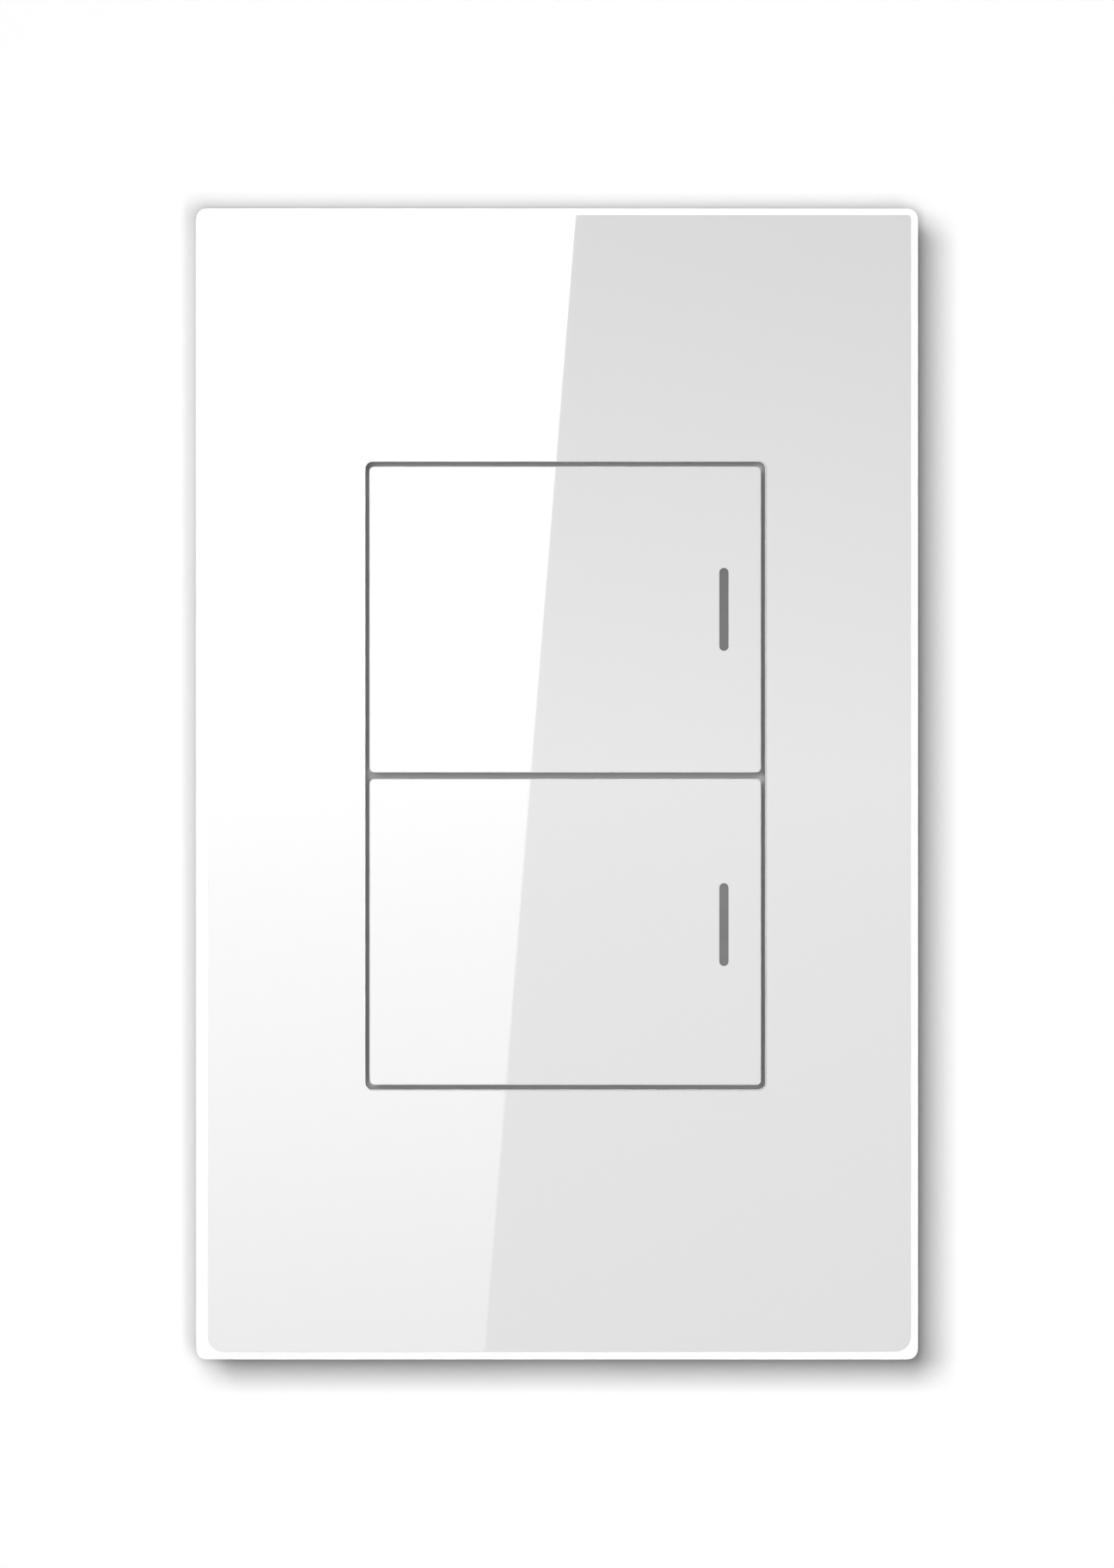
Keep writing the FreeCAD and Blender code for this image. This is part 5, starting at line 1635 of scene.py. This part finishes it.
@dataclass(frozen=True)
class Backdrop:
    """Matt white surface of the room, which the camera doesn't see from behind.

    It is lit by one white, and gives light on by a darker one. The camera can see a third, which grows per
    metre across and up to even out the lamps, and is plain white further out. A passing surface is only there
    for the camera, and lets all light through.
    """

    lit: float
    again: float
    seen: Optional[float] = None
    across: float = 0.0
    up: float = 0.0
    # painted contact shadow along a plate's outline, if any
    seam: Optional[Seam] = None
    passing: bool = False
    brightest: float = 2.0
    plain_from: float = 0.14
    plain_to: float = 0.3

    def material(self, name: str) -> bpy.types.Material:
        """Build the finish.

        Args:
            name: the material's name.

        Returns:
            The material.
        """
        recipe = finish(name)
        camera = recipe.signal("Is Camera Ray", "ShaderNodeLightPath")
        depth = recipe.signal("Ray Depth", "ShaderNodeLightPath")
        deeper = recipe.step(depth, 1.4, 1.6)  # 1 from the second bounce on
        bounced = recipe.mix(deeper, (self.lit,) * 3, (self.again,) * 3)
        if self.seen is None:
            colour, plain = bounced, camera
        else:
            even = (1.0 + recipe.x * self.across + recipe.z * self.up) * (self.seen / self.brightest)
            # painted contact shadow: darkens what the camera sees of the wall along the plate's outline
            if self.seam:
                even = even * self.seam.level(recipe)
            colour = recipe.mix(camera, bounced, recipe.mix(even, (0.0,) * 3, (self.brightest,) * 3))
            plain = recipe.step(recipe.radius(Vector()), self.plain_from, self.plain_to) * camera
        matt = recipe.node("ShaderNodeBsdfDiffuse", sockets={"Color": colour}).outputs[0]
        white = recipe.node("ShaderNodeEmission", sockets={"Strength": 1.0}).outputs[0]
        paint = recipe.node("ShaderNodeMixShader", sockets={0: plain, 1: matt, 2: white}).outputs[0]
        behind = recipe.signal("Backfacing", "ShaderNodeNewGeometry")
        unseen = 1.0 - (1.0 - behind) * camera if self.passing else behind * camera
        clear = recipe.node("ShaderNodeBsdfTransparent").outputs[0]
        return recipe.show(recipe.node("ShaderNodeMixShader", sockets={0: unseen, 1: paint, 2: clear}).outputs[0])


def stage_piece(name: str, made: bmesh.types.BMesh, material: bpy.types.Material) -> bpy.types.Object:
    """Put a part of the studio in the scene.

    Args:
        name: its name.
        made: its shape; freed here.
        material: its finish.

    Returns:
        The object.
    """
    mesh = bpy.data.meshes.new(name)
    made.to_mesh(mesh)
    made.free()
    mesh.materials.append(material)
    owner = bpy.data.objects.new(name, mesh)
    bpy.context.scene.collection.objects.link(owner)
    return owner


@dataclass
class Studio:
    """Wall, floor, cards of light, surroundings and camera.

    The glare's edges are points of the face, across and up. Its levels are given by their height in the room.
    """

    view_height: float = 160.76 * MM
    lens: float = 200.0
    sensor: float = 36.0
    clip: tuple[float, float] = (0.05, 20.0)
    rim_y: float = -8.6 * MM
    wall_gap: float = 0.8 * MM
    wall_half: float = 3.0
    plate_corner: float = 1.2 * MM
    box_half: tuple[float, float] = (30.0 * MM, 50.0 * MM)
    wall_rim: float = 0.7 * MM
    floor_z: float = -1.25
    ambient: float = 0.05
    card_y: float = -0.95
    edge_top: tuple[float, float] = (1.9 * MM, 58.2 * MM)
    edge_foot: tuple[float, float] = (-7.4 * MM, -58.1 * MM)
    glare_width: float = 0.11
    glare_top: float = 0.37
    glare_foot: float = -0.125
    glare_levels: tuple[tuple[float, float], ...] = (
        (-0.115, 4.6), (-0.063, 6.1), (-0.030, 6.9), (0.0, 8.0), (0.05, 10.0), (0.13, 14.0),
    )
    side_levels: tuple[tuple[float, float], ...] = (
        (-0.115, 2.6), (-0.079, 2.75), (-0.03, 2.95), (0.0, 3.3), (0.018, 2.9), (0.051, 2.1), (0.113, 0.6),
    )
    key_level: float = 14.4
    fill_level: float = 26.0
    rear_level: float = 5.5
    rear_places: tuple[Triple, ...] = ((-1.1, 1.3, 0.9), (1.1, 1.3, 0.9))
    rear_size: tuple[float, float] = (0.9, 0.9)

    def build(self) -> None:
        """Set up everything that isn't part of the switch."""
        self.camera()
        self.wall()
        self.floor()
        self.cards()
        self.surroundings()
        bpy.context.scene.view_settings.view_transform = "Standard"

    def camera(self) -> None:
        """Long lens straight in front of the plate's middle."""
        data = bpy.data.cameras.new("camera")
        data.lens = self.lens
        data.sensor_width = self.sensor
        data.clip_start, data.clip_end = self.clip
        camera = bpy.data.objects.new("camera", data)
        camera.location = (0.0, self.camera_y(), 0.0)
        camera.rotation_euler = (math.pi / 2, 0.0, 0.0)
        bpy.context.scene.collection.objects.link(camera)
        bpy.context.scene.camera = camera

    def camera_y(self) -> float:
        """Where the camera stands: the frame's height shows view_height at the plate's rim."""
        return self.rim_y - self.view_height / self.sensor * self.lens

    def wall(self) -> None:
        """White wall with the opening of the wall box. Behind the plate it is only there for the camera.

        Each part is a grid with points at 0.5 and 1.5 from its middle. The inner points go to the part's inner
        outline, the outer ones to its outer outline, and the middle square is left open.
        """
        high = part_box("glass_panel")[1]
        plate = (high.x - self.wall_rim, high.z - self.wall_rim)
        grow = 2 * (self.wall_gap - self.camera_y()) / (self.rim_y - self.camera_y())
        # painted contact shadow along the plate's outline, as the camera sees it
        seam = Seam(high.x * grow, high.z * grow, self.plate_corner)
        far = (self.wall_half, self.wall_half)
        for name, inner, outer, passing in (("wall", plate, far, False), ("wall_inner", self.box_half, plate, True)):
            made = bmesh.new()
            bmesh.ops.create_grid(made, x_segments=3, y_segments=3, size=1.5)
            for vert in made.verts:
                reach = [(inner if abs(part) < 1.0 else outer)[i] for i, part in enumerate(vert.co[:2])]
                vert.co = (math.copysign(reach[0], vert.co.x), self.wall_gap, math.copysign(reach[1], vert.co.y))
            middle = [face for face in made.faces if face.calc_center_median().xz.length < 1.0 * MM]
            bmesh.ops.delete(made, geom=middle, context="FACES")
            paint = Backdrop(lit=0.75, again=0.08, seen=1.11, across=0.51, up=-0.47, seam=seam, passing=passing)
            stage_piece(name, made, paint.material(name + "_paint"))

    def floor(self) -> None:
        """Pale floor far below."""
        made = bmesh.new()
        bmesh.ops.create_grid(made, x_segments=1, y_segments=1, size=self.wall_half)
        bmesh.ops.translate(made, verts=made.verts, vec=(0.0, 0.0, self.floor_z))
        stage_piece("floor", made, Backdrop(lit=0.7, again=0.5).material("floor_paint"))

    def mirrored(self, point: tuple[float, float]) -> tuple[float, float]:
        """Where the camera's ray through a point of the face meets the cards' plane after its reflection."""
        grow = 1.0 + (FACE_Y - self.card_y) / (FACE_Y - self.camera_y())
        return point[0] * grow, point[1] * grow

    def cards(self) -> None:
        """Glare card, whose right edge shows in the face, a dim one beside it, and the lights outside the glare."""
        ahead = (0.0, 1.0, 0.0)
        top_x, top_z = self.mirrored(self.edge_top)
        foot_x, foot_z = self.mirrored(self.edge_foot)
        lean = (top_x - foot_x) / (top_z - foot_z)
        middle_z = (self.glare_top + self.glare_foot) / 2
        edge_x = top_x + (middle_z - top_z) * lean
        Card(
            name="glare_card",
            centre=(edge_x - self.glare_width / 2, self.card_y, middle_z),
            size=(self.glare_width, self.glare_top - self.glare_foot),
            faces=ahead,
            levels=tuple((z - middle_z, level) for z, level in self.glare_levels),
            lean=-lean,
        ).build()
        Card(
            name="side_card",
            centre=(0.02, self.card_y - 0.01, 0.0),
            size=(0.16, 0.27),
            faces=ahead,
            levels=self.side_levels,
        ).build()
        Card(
            name="key_card",
            centre=(-0.27, self.card_y, 0.185),
            size=(0.34, 0.37),
            faces=ahead,
            levels=((0.0, self.key_level),),
        ).build()
        Card(
            name="fill_card",
            centre=(0.135, self.card_y, -0.1),
            size=(0.09, 0.22),
            faces=ahead,
            levels=((0.0, self.fill_level),),
        ).build()
        for name, place in zip(("left", "right"), self.rear_places):
            Card(
                name=f"rear_card_{name}",
                centre=place,
                size=self.rear_size,
                faces=tuple(-part for part in place),
                levels=((0.0, self.rear_level),),
            ).build()

    def surroundings(self) -> None:
        """Even light from all round; white where the camera or a gloss sees it."""
        recipe = Recipe(bpy.data.worlds.new("surroundings"))
        path = recipe.node("ShaderNodeLightPath").outputs
        camera, glossy, through = (
            Signal(recipe, path[name]) for name in ("Is Camera Ray", "Is Glossy Ray", "Is Transmission Ray")
        )
        seen = recipe.maths("MAXIMUM", recipe.maths("MAXIMUM", camera, glossy), through)
        level = self.ambient + seen * (1.0 - self.ambient)
        sky = recipe.node("ShaderNodeBackground", sockets={"Color": (1.0, 1.0, 1.0), "Strength": level})
        bpy.context.scene.world = recipe.show(sky.outputs[0])


def main() -> None:
    """Dress and complete the switch, then set up the studio."""
    logging.basicConfig(level=logging.INFO, format="%(message)s")
    for unit in (Panel(), KeyPair(), Mounting(), Housing(), LogicBoard(), PowerBoard(), Terminals()):
        unit.dress()
        unit.build()
    Studio().build()


if __name__ == "__main__":
    main()
